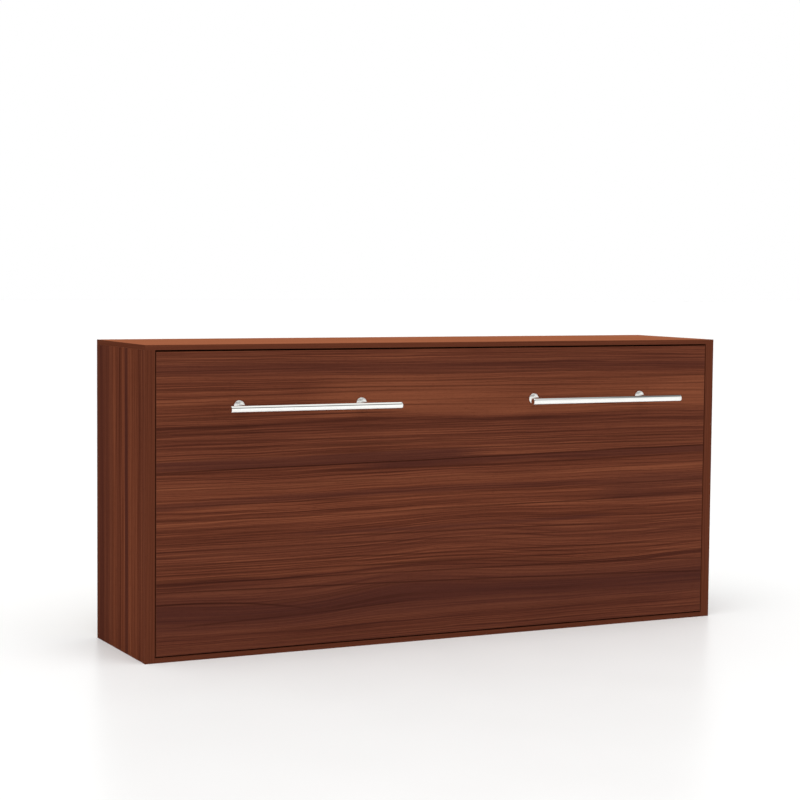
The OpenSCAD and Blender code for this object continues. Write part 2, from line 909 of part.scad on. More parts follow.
slat_z0 = frame_z0 + (tube_w - slat_grip) / 2;
slat_z1 = frame_z1 - (tube_w - slat_grip) / 2;
slat_half = (slat_z1 - slat_z0) / 2;
slat_mid_z = (slat_z0 + slat_z1) / 2;
bow_r = (pow(slat_half, 2) + pow(slat_bow, 2)) / (2 * slat_bow);
bow_steps = 14;

// Rise of a slat above its ends, at a distance from its middle
function bow_at(s) = sqrt(pow(bow_r, 2) - pow(s, 2)) - (bow_r - slat_bow);

function bow_line(y) = [
  for (i = [0:bow_steps]) let (s = slat_half * (2 * i / bow_steps - 1)) [y + bow_at(s), s]
];

module slat_shape() {
  under = bow_line(slat_seat_y);
  over = bow_line(slat_seat_y + slat_t);
  polygon(concat(under, [for (i = [bow_steps:-1:0]) over[i]]));
}

module slats() {
  color(birch) for (k = [0:slat_count - 1]) {
    along_x(slat_at(k) - slat_w / 2, slat_w) translate([0, slat_mid_z]) slat_shape();
  }
}

// A cap on the rail with a mouth that the slat's end slides into
module slat_holder() {
  mouth_w = slat_w + 2 * slat_play;
  mouth_h = slat_t + 2 * slat_play + slat_bow / 5;
  outer_w = mouth_w + 2 * holder_wall;
  difference() {
    block([-outer_w / 2, tube_back_y, slat_z0 - holder_wall - slat_play],
          [outer_w / 2, slat_seat_y + mouth_h + holder_wall, slat_z0 + slat_grip]);
    block([-mouth_w / 2, slat_seat_y, slat_z0 - slat_play],
          [mouth_w / 2, slat_seat_y + mouth_h, slat_z0 + slat_grip + 1]);
  }
}

module slat_holders() {
  color(black_tone) for (k = [0:slat_count - 1]) translate([slat_at(k), 0, 0]) {
    slat_holder();
    translate([0, 0, 2 * slat_mid_z]) mirror([0, 0, 1]) slat_holder();
  }
}

// Bed: the mattress, a soft slab whose face is crowned and whose sides draw in

corner_parts = [0, 0.12, 0.5, 1];
across_steps = 14;
along_steps = 8;
arc_steps = 3;

// Stations along one axis: close together in the corners, even between them
function stations(half, steps) = concat(
  [for (c = corner_parts) -half + c * mattress_corner_r],
  [for (i = [1:steps - 1]) (half - mattress_corner_r) * (2 * i / steps - 1)],
  [for (i = [len(corner_parts) - 1:-1:0]) half - corner_parts[i] * mattress_corner_r]
);

// A point of the flat outline grid, with the corners drawn round and the rim drawn in
function rounded(x, z, half_x, half_z, inset) =
  let (
    ax = abs(x) - (half_x - mattress_corner_r),
    az = abs(z) - (half_z - mattress_corner_r),
    pull = (ax > 0 && az > 0) ? max(ax, az) / norm([ax, az]) : 1,
    rx = ax > 0 ? half_x - mattress_corner_r + ax * (az > 0 ? pull : 1) : abs(x),
    rz = az > 0 ? half_z - mattress_corner_r + az * (ax > 0 ? pull : 1) : abs(z)
  )
  [sign(x) * rx * (half_x - inset) / half_x, sign(z) * rz * (half_z - inset) / half_z];

// Rise of the sleeping face between its rim and its middle
function crown_at(x, z, half_x, half_z) =
  mattress_crown * (1 - pow(abs(x) / half_x, 4)) * (1 - pow(abs(z) / half_z, 4));

// The side's profile as [height, inset] from the underside's rim to the upper one
function side_profile() =
  let (rim = mattress_t - mattress_crown, r = mattress_edge_r)
  concat(
    [for (i = [0:arc_steps]) let (a = 90 * i / arc_steps) [r * (1 - cos(a)), r * (1 - sin(a))]],
    [[rim / 2, mattress_draw]],
    [for (i = [arc_steps:-1:0]) let (a = 90 * i / arc_steps)
      [rim - r * (1 - cos(a)), r * (1 - sin(a))]]
  );

module mattress() {
  hx = mattress_l / 2;
  hz = mattress_w / 2;
  xs = stations(hx, across_steps);
  zs = stations(hz, along_steps);
  nx = len(xs);
  nz = len(zs);
  profile = side_profile();
  rows = len(profile);
  rim_inset = profile[0][1];
  // Grid places round the rim, in order
  loop = concat(
    [for (i = [0:nx - 2]) [i, 0]],
    [for (k = [0:nz - 2]) [nx - 1, k]],
    [for (i = [nx - 1:-1:1]) [i, nz - 1]],
    [for (k = [nz - 1:-1:1]) [0, k]]
  );
  ring = len(loop);
  under = [for (i = [0:nx - 1], k = [0:nz - 1])
    let (p = rounded(xs[i], zs[k], hx, hz, rim_inset)) [p.x, 0, p.y]];
  face = [for (i = [0:nx - 1], k = [0:nz - 1])
    let (p = rounded(xs[i], zs[k], hx, hz, rim_inset))
    [p.x, mattress_t - mattress_crown + crown_at(xs[i], zs[k], hx, hz), p.y]];
  sides = [for (j = [1:rows - 2], g = loop)
    let (p = rounded(xs[g.x], zs[g.y], hx, hz, profile[j][1])) [p.x, profile[j][0], p.y]];
  grid = nx * nz;
  // Index of the point at a row of the side and a place round the rim
  function at(j, m) =
    let (g = loop[m % ring])
    j == 0 ? g.x * nz + g.y :
    j == rows - 1 ? grid + g.x * nz + g.y :
    2 * grid + (j - 1) * ring + m % ring;
  cells = [for (i = [0:nx - 2], k = [0:nz - 2]) [i * nz + k, (i + 1) * nz + k]];
  faces = concat(
    [for (c = cells) [c.x, c.x + 1, c.y + 1]],
    [for (c = cells) [c.x, c.y + 1, c.y]],
    [for (c = cells) [grid + c.x, grid + c.y + 1, grid + c.x + 1]],
    [for (c = cells) [grid + c.x, grid + c.y, grid + c.y + 1]],
    [for (j = [0:rows - 2], m = [0:ring - 1]) [at(j, m), at(j, m + 1), at(j + 1, m + 1)]],
    [for (j = [0:rows - 2], m = [0:ring - 1]) [at(j, m), at(j + 1, m + 1), at(j + 1, m)]]
  );
  color(white_cloth) translate([0, mattress_y0, (mattress_z0 + mattress_z1) / 2]) {
    polyhedron(concat(under, face, sides), faces);
  }
}

// Bed: straps round the mattress and hoops under its lower edge

// Straps and hoops stand in the gaps between the slats
strap_x = slat_at(slat_count - 4.5);
hoop_w = 2 * slat_pitch;
hoop_x = slat_at(slat_count - 2.5);

// The space inside a strap: the mattress with a gap all round
module strap_inside(grow) {
  strap_y1 = mattress_y1 + soft_gap + grow;
  strap_z0 = mattress_z0 - soft_gap - grow;
  strap_z1 = mattress_z1 + soft_gap + grow;
  depth = strap_y1 - panel_back_y;
  translate([strap_y1 - depth / 2, (strap_z0 + strap_z1) / 2]) {
    round_rect(depth, strap_z1 - strap_z0, mattress_edge_r - 4 + grow);
  }
}

strap_tuck = 6;

// An end of the strap, flat on the back of a long tube
module strap_end(z0, z1) {
  block([strap_x - strap_w / 2, tube_back_y, z0],
        [strap_x + strap_w / 2, tube_back_y + strap_t, z1]);
}

module mattress_straps() {
  color([0.14, 0.14, 0.16]) for (side = [-1, 1]) on_side(side) {
    along_x(strap_x - strap_w / 2, strap_w) difference() {
      strap_inside(strap_t);
      strap_inside(0);
      // The strap's ends lie on the backs of the two long tubes
      translate([front_y - 1, 0]) square([tube_back_y - front_y + 1, 2 * cabinet_h]);
    }
    strap_end(mattress_z0 - soft_gap - strap_t, frame_z0 + tube_w - strap_tuck);
    strap_end(frame_z1 - tube_w + strap_tuck, mattress_z1 + soft_gap + strap_t);
  }
}

// A sliding buckle that the strap runs through
module strap_buckles() {
  wall = 3;
  play = 0.3;
  buckle_h = 46;
  strap_y = mattress_y1 + soft_gap;
  mid_z = (mattress_z0 + mattress_z1) / 2;
  color(black_tone) for (side = [-1, 1]) on_side(side) difference() {
    block([strap_x - strap_w / 2 - wall, strap_y - play, mid_z - buckle_h / 2],
          [strap_x + strap_w / 2 + wall, strap_y + strap_t + play + wall, mid_z + buckle_h / 2]);
    block([strap_x - strap_w / 2 - play, strap_y - play - 1, mid_z - buckle_h],
          [strap_x + strap_w / 2 + play, strap_y + strap_t + play, mid_z + buckle_h]);
    for (k = [-1, 1]) {
      block([strap_x - strap_w / 2 + 2, strap_y - 1, mid_z + k * buckle_h / 4 - 5],
            [strap_x + strap_w / 2 - 2, strap_y + strap_t + 2 * wall, mid_z + k * buckle_h / 4 + 5]);
    }
  }
}

// A quarter of a ring of rod, turning from +Y to +Z about a centre line along X
module rod_bend(d) {
  rotate([90, 0, 90]) rotate([0, 0, -90]) rotate_extrude(angle = 90) {
    translate([hoop_bend, 0]) circle(d = d);
  }
}

// One half of a hoop: a leg under the mattress, a bend, and a riser behind it
module hoop_half(leg_z, riser_y) {
  bar_y([0, tube_back_y, leg_z], riser_y - hoop_bend - tube_back_y, hoop_d);
  translate([0, riser_y - hoop_bend, leg_z + hoop_bend]) rod_bend(hoop_d);
  bar_z([0, riser_y, leg_z + hoop_bend], hoop_h - 2 * hoop_bend, hoop_d);
}

// A quarter ring from a riser over to the hoop's top bar
module hoop_corner() {
  rotate([90, 0, 0]) rotate_extrude(angle = 90) translate([hoop_bend, 0]) circle(d = hoop_d);
}

module mattress_hoops() {
  leg_z = mattress_z0 - soft_gap - hoop_d / 2;
  riser_y = mattress_y1 + soft_gap + hoop_d / 2;
  top_z = leg_z + hoop_h;
  color(zinc_tone) for (side = [-1, 1]) on_side(side) translate([hoop_x, 0, 0]) {
    for (s = [-1, 1]) on_side(s) {
      translate([hoop_w / 2, 0, 0]) hoop_half(leg_z, riser_y);
      translate([hoop_w / 2 - hoop_bend, riser_y, top_z - hoop_bend]) hoop_corner();
    }
    bar_x([-hoop_w / 2 + hoop_bend, riser_y, top_z], hoop_w - 2 * hoop_bend, hoop_d);
  }
}

// Bed: the handles, which stand under the bed as its legs when it is down

bar_y0 = front_y - standoff;

module handle_bar_right() {
  tube_l = bar_l - 2 * bar_cap_t;
  difference() {
    bar_x([handle_x - tube_l / 2, bar_y0, handle_z], tube_l, bar_d);
    bar_x([handle_x - tube_l / 2 - 1, bar_y0, handle_z], tube_l + 2, bar_d - 2 * bar_wall);
  }
}

module left_handle_bar() {
  color(chrome_tone) on_side(-1) handle_bar_right();
}

module right_handle_bar() {
  color(chrome_tone) on_side(1) handle_bar_right();
}

// A post's end is cut to sit on the round of the bar
module handle_posts() {
  thread_l = 20;
  color(chrome_tone) for (side = [-1, 1]) on_side(side) difference() {
    for (x = post_xs()) bar_y([x, bar_y0, handle_z], standoff, post_d);
    bar_x([0, bar_y0, handle_z], 2 * handle_x, bar_d);
    for (x = post_xs()) bar_y([x, front_y - thread_l, handle_z], thread_l + 1, bolt_d);
  }
}

// Half the section of a rosette: a flat rim that rises in an arc to the post
module rosette_shape() {
  rise = rosette_h - rosette_rim;
  dome_r = (pow(rosette_d / 2, 2) + pow(rise, 2)) / (2 * rise);
  difference() {
    union() {
      square([rosette_d / 2, rosette_rim]);
      intersection() {
        translate([0, rosette_h - dome_r]) circle(r = dome_r, $fn = 180);
        square([rosette_d / 2, rosette_h]);
      }
    }
    square([post_d / 2, 3 * rosette_h], center = false);
  }
}

module handle_rosettes() {
  color(chrome_tone) for (side = [-1, 1], x = post_xs()) on_side(side) {
    translate([x, front_y, handle_z]) rotate([90, 0, 0]) rotate_extrude() rosette_shape();
  }
}

// Caps with a plug close the bar's ends
module handle_end_caps() {
  color(chrome_tone) for (side = [-1, 1]) on_side(side) translate([handle_x, bar_y0, handle_z]) {
    for (s = [-1, 1]) on_side(s) {
      bar_x([bar_l / 2 - bar_cap_t, 0, 0], bar_cap_t, bar_d);
      bar_x([bar_l / 2 - bar_cap_t - bar_plug_l, 0, 0], bar_plug_l, bar_d - 2 * bar_wall);
    }
  }
}

// A bolt from the back of the panel into each post
module handle_bolts() {
  bolt_l = panel_t + 3 * bolt_d;
  color(zinc_tone) for (side = [-1, 1], x = post_xs()) on_side(side) {
    bar_y([x, panel_back_y - bolt_l, handle_z], bolt_l, bolt_d);
    bar_y([x, panel_back_y, handle_z], bolt_head_t, bolt_head_d);
  }
}

// Gas struts, drawn from the upper stud down

module on_strut(side) {
  on_side(side) translate([strut_x, strut_y, strut_z]) rotate([strut_tilt, 0, 0]) children();
}

// An eye across the strut at a distance down it, with the neck that joins it
module eye_body(at) {
  bar_x([-eye_w / 2, 0, at], eye_w, eye_d);
}

module strut_cylinder() {
  neck_d = 0.8 * eye_w;
  bore_top = barrel_top + 4;
  difference() {
    union() {
      eye_body(0);
      bar_z([0, 0, 0], barrel_top, neck_d);
      bar_z([0, 0, barrel_top], cylinder_l, cylinder_d);
    }
    bar_x([-eye_w, 0, 0], 2 * eye_w, stud_d + 2 * run_gap);
    bar_z([0, 0, bore_top], barrel_end - bore_top + 1, bore_d);
  }
}

// A ring in the mouth of the cylinder that the rod slides in
module strut_gland() {
  lip_t = 2;
  difference() {
    union() {
      bar_z([0, 0, barrel_end - gland_l], gland_l, bore_d);
      bar_z([0, 0, barrel_end], lip_t, bore_d + cylinder_wall);
    }
    bar_z([0, 0, barrel_end - gland_l - 1], gland_l + lip_t + 2, rod_d + 2 * run_gap);
  }
}

// The rod and the piston on its inner end
module strut_rod() {
  rod_top = barrel_end - rod_inside;
  bar_z([0, 0, rod_top], rod_foot - rod_top, rod_d);
  bar_z([0, 0, rod_top], piston_t, bore_d - 2 * run_gap);
}

// The lower eye on the rod, with the stud that reaches across to the hinge plate
module strut_rod_end() {
  reach = strut_x - hinge_x - stud_gap;
  difference() {
    union() {
      eye_body(strut_l);
      bar_z([0, 0, rod_foot - rod_end_grip], strut_l - rod_foot + rod_end_grip, rod_d + 4);
    }
    bar_z([0, 0, rod_foot - rod_end_grip - 1], rod_end_grip + 1, rod_d);
  }
  bar_x([-reach, 0, strut_l], reach, stud_d);
  bar_x([0, 0, strut_l], eye_w / 2 + stud_over, stud_d + 3);
}

module left_strut_cylinder() {
  color(black_tone) on_strut(-1) strut_cylinder();
}

module left_strut_gland() {
  color(zinc_tone) on_strut(-1) strut_gland();
}

module left_strut_rod() {
  color(chrome_tone) on_strut(-1) strut_rod();
}

module left_strut_rod_end() {
  color(zinc_tone) on_strut(-1) strut_rod_end();
}

module right_strut_cylinder() {
  color(black_tone) on_strut(1) strut_cylinder();
}

module right_strut_gland() {
  color(zinc_tone) on_strut(1) strut_gland();
}

module right_strut_rod() {
  color(chrome_tone) on_strut(1) strut_rod();
}

module right_strut_rod_end() {
  color(zinc_tone) on_strut(1) strut_rod_end();
}

top_board();
bottom_board();
left_side_panel();
right_side_panel();
back_panel();
upper_wall_rail();
lower_wall_rail();
carcass_edge_bands();
cam_locks();
cam_bolts();
dowels();
left_pivot_plate();
right_pivot_plate();
pivot_pins();
pivot_plate_screws();
left_strut_bracket();
right_strut_bracket();
strut_bracket_screws();
stop_blocks();
stop_block_screws();
stop_bumpers();
front_panel();
front_panel_edge_bands();
frame_lower_rail();
frame_upper_rail();
frame_left_end_tube();
frame_right_end_tube();
frame_cross_tubes();
frame_end_plugs();
panel_bolts();
left_hinge_plate();
right_hinge_plate();
hinge_bushings();
hinge_bolts();
slats();
slat_holders();
mattress();
mattress_straps();
strap_buckles();
mattress_hoops();
left_handle_bar();
right_handle_bar();
handle_posts();
handle_rosettes();
handle_end_caps();
handle_bolts();
left_strut_cylinder();
left_strut_gland();
left_strut_rod();
left_strut_rod_end();
right_strut_cylinder();
right_strut_gland();
right_strut_rod();
right_strut_rod_end();
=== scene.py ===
"""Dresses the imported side-folding wall bed: cabinet, chrome handles, fold-down frame and mattress.

Lengths are metres in the bed's own frame: +X to the right along the front, +Y to the wall, +Z up,
with the bed folded up. Every piece is made in place and rides on the body that carries it.
"""

import logging
import math
from dataclasses import dataclass, replace
from enum import Enum
from typing import Iterable, Optional, Sequence, Union

import bmesh
import bpy
import numpy as np
from mathutils import Matrix, Vector


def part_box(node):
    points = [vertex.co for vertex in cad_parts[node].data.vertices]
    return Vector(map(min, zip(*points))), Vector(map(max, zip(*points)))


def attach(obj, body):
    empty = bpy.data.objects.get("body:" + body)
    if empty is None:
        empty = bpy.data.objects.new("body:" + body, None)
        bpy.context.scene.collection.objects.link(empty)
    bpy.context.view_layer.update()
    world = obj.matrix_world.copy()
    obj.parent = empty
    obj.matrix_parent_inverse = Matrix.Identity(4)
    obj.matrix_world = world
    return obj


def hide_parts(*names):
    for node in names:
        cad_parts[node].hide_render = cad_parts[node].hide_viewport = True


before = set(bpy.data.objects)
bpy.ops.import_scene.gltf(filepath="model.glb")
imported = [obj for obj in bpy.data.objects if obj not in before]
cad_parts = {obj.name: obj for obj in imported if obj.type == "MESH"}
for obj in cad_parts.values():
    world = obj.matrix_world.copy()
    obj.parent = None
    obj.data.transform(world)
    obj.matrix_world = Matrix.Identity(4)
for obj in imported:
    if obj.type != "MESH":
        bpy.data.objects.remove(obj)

logging.basicConfig(level=logging.INFO, format="%(message)s")
log = logging.getLogger("wall_bed")

Tone = tuple[float, float, float, float]
Box = tuple[Vector, Vector]
Socket = bpy.types.NodeSocket
Given = Union[Socket, float, int, Sequence[float]]

MM = 0.001
WELD = 1e-5
BEYOND = 9.0
CABINET = "cabinet"
BED = "bed"
SIDES = ("left", "right")
LEFTWARD = Vector((-1, 0, 0))
RIGHTWARD = Vector((1, 0, 0))
FORWARD = Vector((0, -1, 0))
BACKWARD = Vector((0, 1, 0))
UPWARD = Vector((0, 0, 1))


def tone(red: int, green: int, blue: int) -> Tone:
    """Turns a colour as the eye reads it into the linear colour of a shader.

    Args:
        red: Red from 0 to 255.
        green: Green from 0 to 255.
        blue: Blue from 0 to 255.

    Returns:
        The linear colour with full alpha.
    """
    shares = [channel / 255 for channel in (red, green, blue)]
    linear = [s / 12.92 if s <= 0.04045 else ((s + 0.055) / 1.055) ** 2.4 for s in shares]
    return (linear[0], linear[1], linear[2], 1.0)


class Grain(Enum):
    """The axis that a board's figure runs along, and how much X, Y and Z count across it."""

    UPRIGHT_X = (0, (0.0, 0.35, 1.0))
    FLAT_X = (0, (0.0, 1.0, 0.35))
    ALONG_Y = (1, (0.35, 0.0, 1.0))
    SIDE_Z = (2, (0.07, 1.0, 0.0))
    POST_Z = (2, (1.0, 0.35, 0.0))


class Side(Enum):
    """A side of an upright box, as its axis and its way along it."""

    LEFT = (0, -1)
    RIGHT = (0, 1)
    FRONT = (1, -1)
    BACK = (1, 1)
    FOOT = (2, -1)
    HEAD = (2, 1)


class ShaderTree:
    """A shader's nodes under construction, with short calls for those that are used often."""

    def __init__(self, tree: bpy.types.NodeTree) -> None:
        """Takes up a material's or a world's nodes."""
        self.tree = tree

    def put(self, socket: Socket, value: Given) -> None:
        """Links a socket to another, or sets its value."""
        if isinstance(value, bpy.types.NodeSocket):
            self.tree.links.new(value, socket)
        else:
            socket.default_value = value

    def node(self, kind: str, **settings: object) -> bpy.types.Node:
        """Adds a node and sets its properties."""
        made = self.tree.nodes.new(kind)
        for name, value in settings.items():
            setattr(made, name, value)
        return made

    def place(self) -> tuple[Socket, Socket, Socket]:
        """The object coordinates as three numbers."""
        coordinates = self.node("ShaderNodeTexCoord")
        parts = self.node("ShaderNodeSeparateXYZ")
        self.put(parts.inputs[0], coordinates.outputs["Object"])
        return parts.outputs[0], parts.outputs[1], parts.outputs[2]

    def maths(self, operation: str, *values: Given) -> Socket:
        """One step of arithmetic."""
        made = self.node("ShaderNodeMath", operation=operation)
        for socket, value in zip(made.inputs, values):
            self.put(socket, value)
        return made.outputs[0]

    def total(self, *terms: tuple[Given, float]) -> Socket:
        """The sum of each term times its weight."""
        result: Given = 0.0
        for value, weight in terms:
            result = self.maths("MULTIPLY_ADD", value, weight, result)
        return result

    def join(self, x: Given, y: Given, z: Given) -> Socket:
        """A vector from three numbers."""
        made = self.node("ShaderNodeCombineXYZ")
        for socket, value in zip(made.inputs, (x, y, z)):
            self.put(socket, value)
        return made.outputs[0]

    def noise(self, at: Socket, scale: float, detail: float = 2.0, rough: float = 0.5) -> Socket:
        """Cloudy noise from 0 to 1 at a vector."""
        return self._noisy("3D", Vector=at, Scale=scale, Detail=detail, Roughness=rough)

    def lines(self, at: Socket, scale: float, detail: float = 2.0, rough: float = 0.5) -> Socket:
        """Noise from 0 to 1 along one number, which gives lines of uneven width."""
        return self._noisy("1D", W=at, Scale=scale, Detail=detail, Roughness=rough)

    def _noisy(self, dimensions: str, **values: Given) -> Socket:
        """The first output of a noise node with a few inputs set."""
        made = self.node("ShaderNodeTexNoise", noise_dimensions=dimensions)
        for name, value in values.items():
            self.put(made.inputs[name], value)
        return made.outputs[0]

    def scaled(self, x: Given, y: Given, z: Given, rates: tuple[float, float, float]) -> Socket:
        """A vector from three numbers, each times its own rate."""
        pairs = zip((x, y, z), rates)
        return self.join(*[self.maths("MULTIPLY", value, rate) for value, rate in pairs])

    def cloud(
        self, along: Given, across: Given, rates: tuple[float, float], seed: float, detail: float = 1.0,
        rough: float = 0.5,
    ) -> Socket:
        """Noise that is drawn out along a board: its rates count along and across the grain."""
        pairs = zip((along, across), rates)
        places = [self.maths("MULTIPLY", value, rate) for value, rate in pairs]
        return self.noise(self.join(*places, seed), 1.0, detail, rough)

    def span(
        self, value: Given, low: float, high: float, start: float = 0.0, end: float = 1.0
    ) -> Socket:
        """Moves a value from one range to another, held at its ends."""
        made = self.node("ShaderNodeMapRange")
        for socket, number in zip(made.inputs, (value, low, high, start, end)):
            self.put(socket, number)
        return made.outputs[0]

    def ramp(self, at: Socket, stops: Sequence[tuple[float, Tone]], ease: str = "LINEAR") -> Socket:
        """A colour that changes along a value through a few stops."""
        made = self.node("ShaderNodeValToRGB")
        made.color_ramp.interpolation = ease
        elements = made.color_ramp.elements
        while len(elements) < len(stops):
            elements.new(1.0)
        for element, (place, colour) in zip(elements, stops):
            element.position = place
            element.color = colour
        self.put(made.inputs[0], at)
        return made.outputs[0]

    def blend(self, share: Given, base: Given, over: Given) -> Socket:
        """Mixes two colours."""
        made = self.node("ShaderNodeMix", data_type="RGBA")
        for place, value in ((0, share), (6, base), (7, over)):
            self.put(made.inputs[place], value)
        return made.outputs[2]


class Shading(ShaderTree):
    """A material under construction."""

    def __init__(self, name: str) -> None:
        """Starts a material with one principled shader."""
        self.material = bpy.data.materials.new(name)
        self.material.use_nodes = True
        super().__init__(self.material.node_tree)
        self.shader = self.tree.nodes["Principled BSDF"]

    def raised(self, height: Socket, depth: float) -> None:
        """Gives the surface relief from a height between 0 and 1, as deep as given."""
        made = self.node("ShaderNodeBump")
        for name, value in (("Height", height), ("Distance", depth), ("Strength", 1.0)):
            self.put(made.inputs[name], value)
        self.put(self.shader.inputs["Normal"], made.outputs[0])

    def done(self, **values: Given) -> bpy.types.Material:
        """Sets the shader's sockets, named with underscores for spaces, and gives the material."""
        for name, value in values.items():
            self.put(self.shader.inputs[name.replace("_", " ")], value)
        return self.material


@dataclass(frozen=True)
class Band:
    """A broad band of the laminate's figure.

    Attributes:
        place: Where its middle lies across the grain, in metres.
        depth: How dark it is, from 0 to 1.
    """

    place: float
    depth: float


@dataclass(frozen=True)
class Swirl:
    """A place where the figure bends aside.

    Attributes:
        along: Its middle along the grain.
        across: Its middle across the grain.
        length: Its reach along the grain.
        height: Its reach across the grain.
        lift: How far the lines are moved there.
    """

    along: float
    across: float
    length: float
    height: float
    lift: float


@dataclass(frozen=True)
class Line:
    """A line, belt or glow of the figure that runs along the board.

    Attributes:
        places: Where it lies across the grain at 1 m before the middle, at the middle and 1 m past it.
        depth: How strong it is, from 0 to 1.
        half: Half its width.
        soft: How far its edges fade.
        ends: Where it starts and stops along the grain, or BEYOND where it runs to the board's end.
    """

    places: tuple[float, float, float]
    depth: float
    half: float = 1.2 * MM
    soft: float = 2.2 * MM
    ends: tuple[float, float] = (-BEYOND, BEYOND)

    def moved(self, shift: float) -> "Line":
        """The same line, moved across the grain."""
        first, middle, last = self.places
        return replace(self, places=(first + shift, middle + shift, last + shift))


FRONT_BANDS = (
    Band(0.02, 0.40), Band(0.07, 0.36), Band(0.115, 0.66), Band(0.155, 0.80),
    Band(0.20, 0.52), Band(0.27, 0.14), Band(0.33, 0.26), Band(0.40, 0.06),
    Band(0.50, 0.00), Band(0.575, 0.10), Band(0.634, 0.16), Band(0.72, 0.22),
    Band(0.79, 0.00), Band(0.865, 0.12), Band(0.905, 0.46), Band(0.955, 0.16),
)
FRONT_SWIRLS = (
    Swirl(-0.62, 0.13, 0.30, 0.07, 0.026), Swirl(0.05, 0.36, 0.26, 0.09, -0.018),
    Swirl(0.55, 0.24, 0.40, 0.10, 0.020), Swirl(-0.15, 0.20, 0.22, 0.06, -0.016),
)
FRONT_LINES = (
    Line((0.950, 0.952, 0.937), 0.35), Line((0.932, 0.920, 0.926), 0.30),
    Line((0.901, 0.911, 0.890), 0.35), Line((0.866, 0.860, 0.864), 0.35),
    Line((0.846, 0.842, 0.836), 0.50), Line((0.820, 0.830, 0.811), 0.40),
    Line((0.792, 0.800, 0.790), 0.25), Line((0.774, 0.783, 0.755), 0.40),
    Line((0.712, 0.706, 0.702), 0.40), Line((0.692, 0.677, 0.689), 0.45),
    Line((0.664, 0.660, 0.657), 0.35), Line((0.628, 0.638, 0.631), 0.50),
    Line((0.590, 0.603, 0.613), 0.95), Line((0.543, 0.545, 0.556), 0.50),
    Line((0.525, 0.527, 0.541), 0.25), Line((0.484, 0.485, 0.496), 0.35),
    Line((0.441, 0.436, 0.449), 0.60), Line((0.406, 0.388, 0.416), 0.30),
    Line((0.366, 0.362, 0.349), 0.60), Line((0.344, 0.338, 0.327), 0.55),
    Line((0.330, 0.324, 0.308), 0.40), Line((0.303, 0.290, 0.274), 0.65),
    Line((0.288, 0.277, 0.262), 0.45), Line((0.270, 0.261, 0.246), 0.55),
    Line((0.242, 0.232, 0.213), 0.75), Line((0.217, 0.196, 0.166), 0.85),
    Line((0.078, 0.066, 0.100), 0.25), Line((0.046, 0.040, 0.042), 0.25),
    Line((0.1785, 0.0031, -0.5353), 0.85, half=1.6 * MM, ends=(-BEYOND, -0.52)),
    Line((0.1049, 0.1482, 0.2404), 0.60, ends=(-0.93, -0.14)),
    Line((0.592, 0.579, 0.588), 0.60, ends=(-0.2, BEYOND)),
    Line((0.755, 0.757, 0.712), 0.60, ends=(-BEYOND, -0.2)),
    Line((0.727, 0.738, 0.724), 0.60, ends=(-BEYOND, -0.2)),
)
FRONT_BELTS = (
    Line((0.609, 0.621, 0.632), 0.70, half=13 * MM, soft=5 * MM, ends=(-BEYOND, 0.1)),
    Line((0.585, 0.592, 0.601), 0.70, half=9 * MM, soft=4 * MM, ends=(-0.3, BEYOND)),
    Line((0.388, 0.377, 0.394), 0.60, half=3 * MM, soft=6 * MM, ends=(-0.55, 0.6)),
    Line((0.484, 0.504, 0.492), 0.45, half=7 * MM, soft=8 * MM),
    Line((0.500, 0.500, 0.470), 0.45, half=38 * MM, soft=25 * MM, ends=(0.60, BEYOND)),
)
FRONT_GLOWS = (
    Line((0.815, 0.812, 0.806), 0.46, half=42 * MM, soft=30 * MM, ends=(-0.45, BEYOND)),
)
SIDE_BANDS = (
    Band(-0.33, 0.6), Band(-0.31, 0.4), Band(-0.28, 0.25), Band(-0.246, 0.04), Band(-0.17, 0.0),
    Band(-0.125, 0.1), Band(-0.097, 0.0), Band(-0.075, 0.15), Band(-0.05, 0.2), Band(-0.015, 0.0),
    Band(0.02, 0.35), Band(0.06, 0.5), Band(0.132, 0.6), Band(0.30, 0.5),
)
SIDE_BELTS = (
    Line((-0.134,) * 3, 0.90, half=12 * MM, soft=6 * MM), Line((-0.262,) * 3, 0.35, half=2 * MM),
)


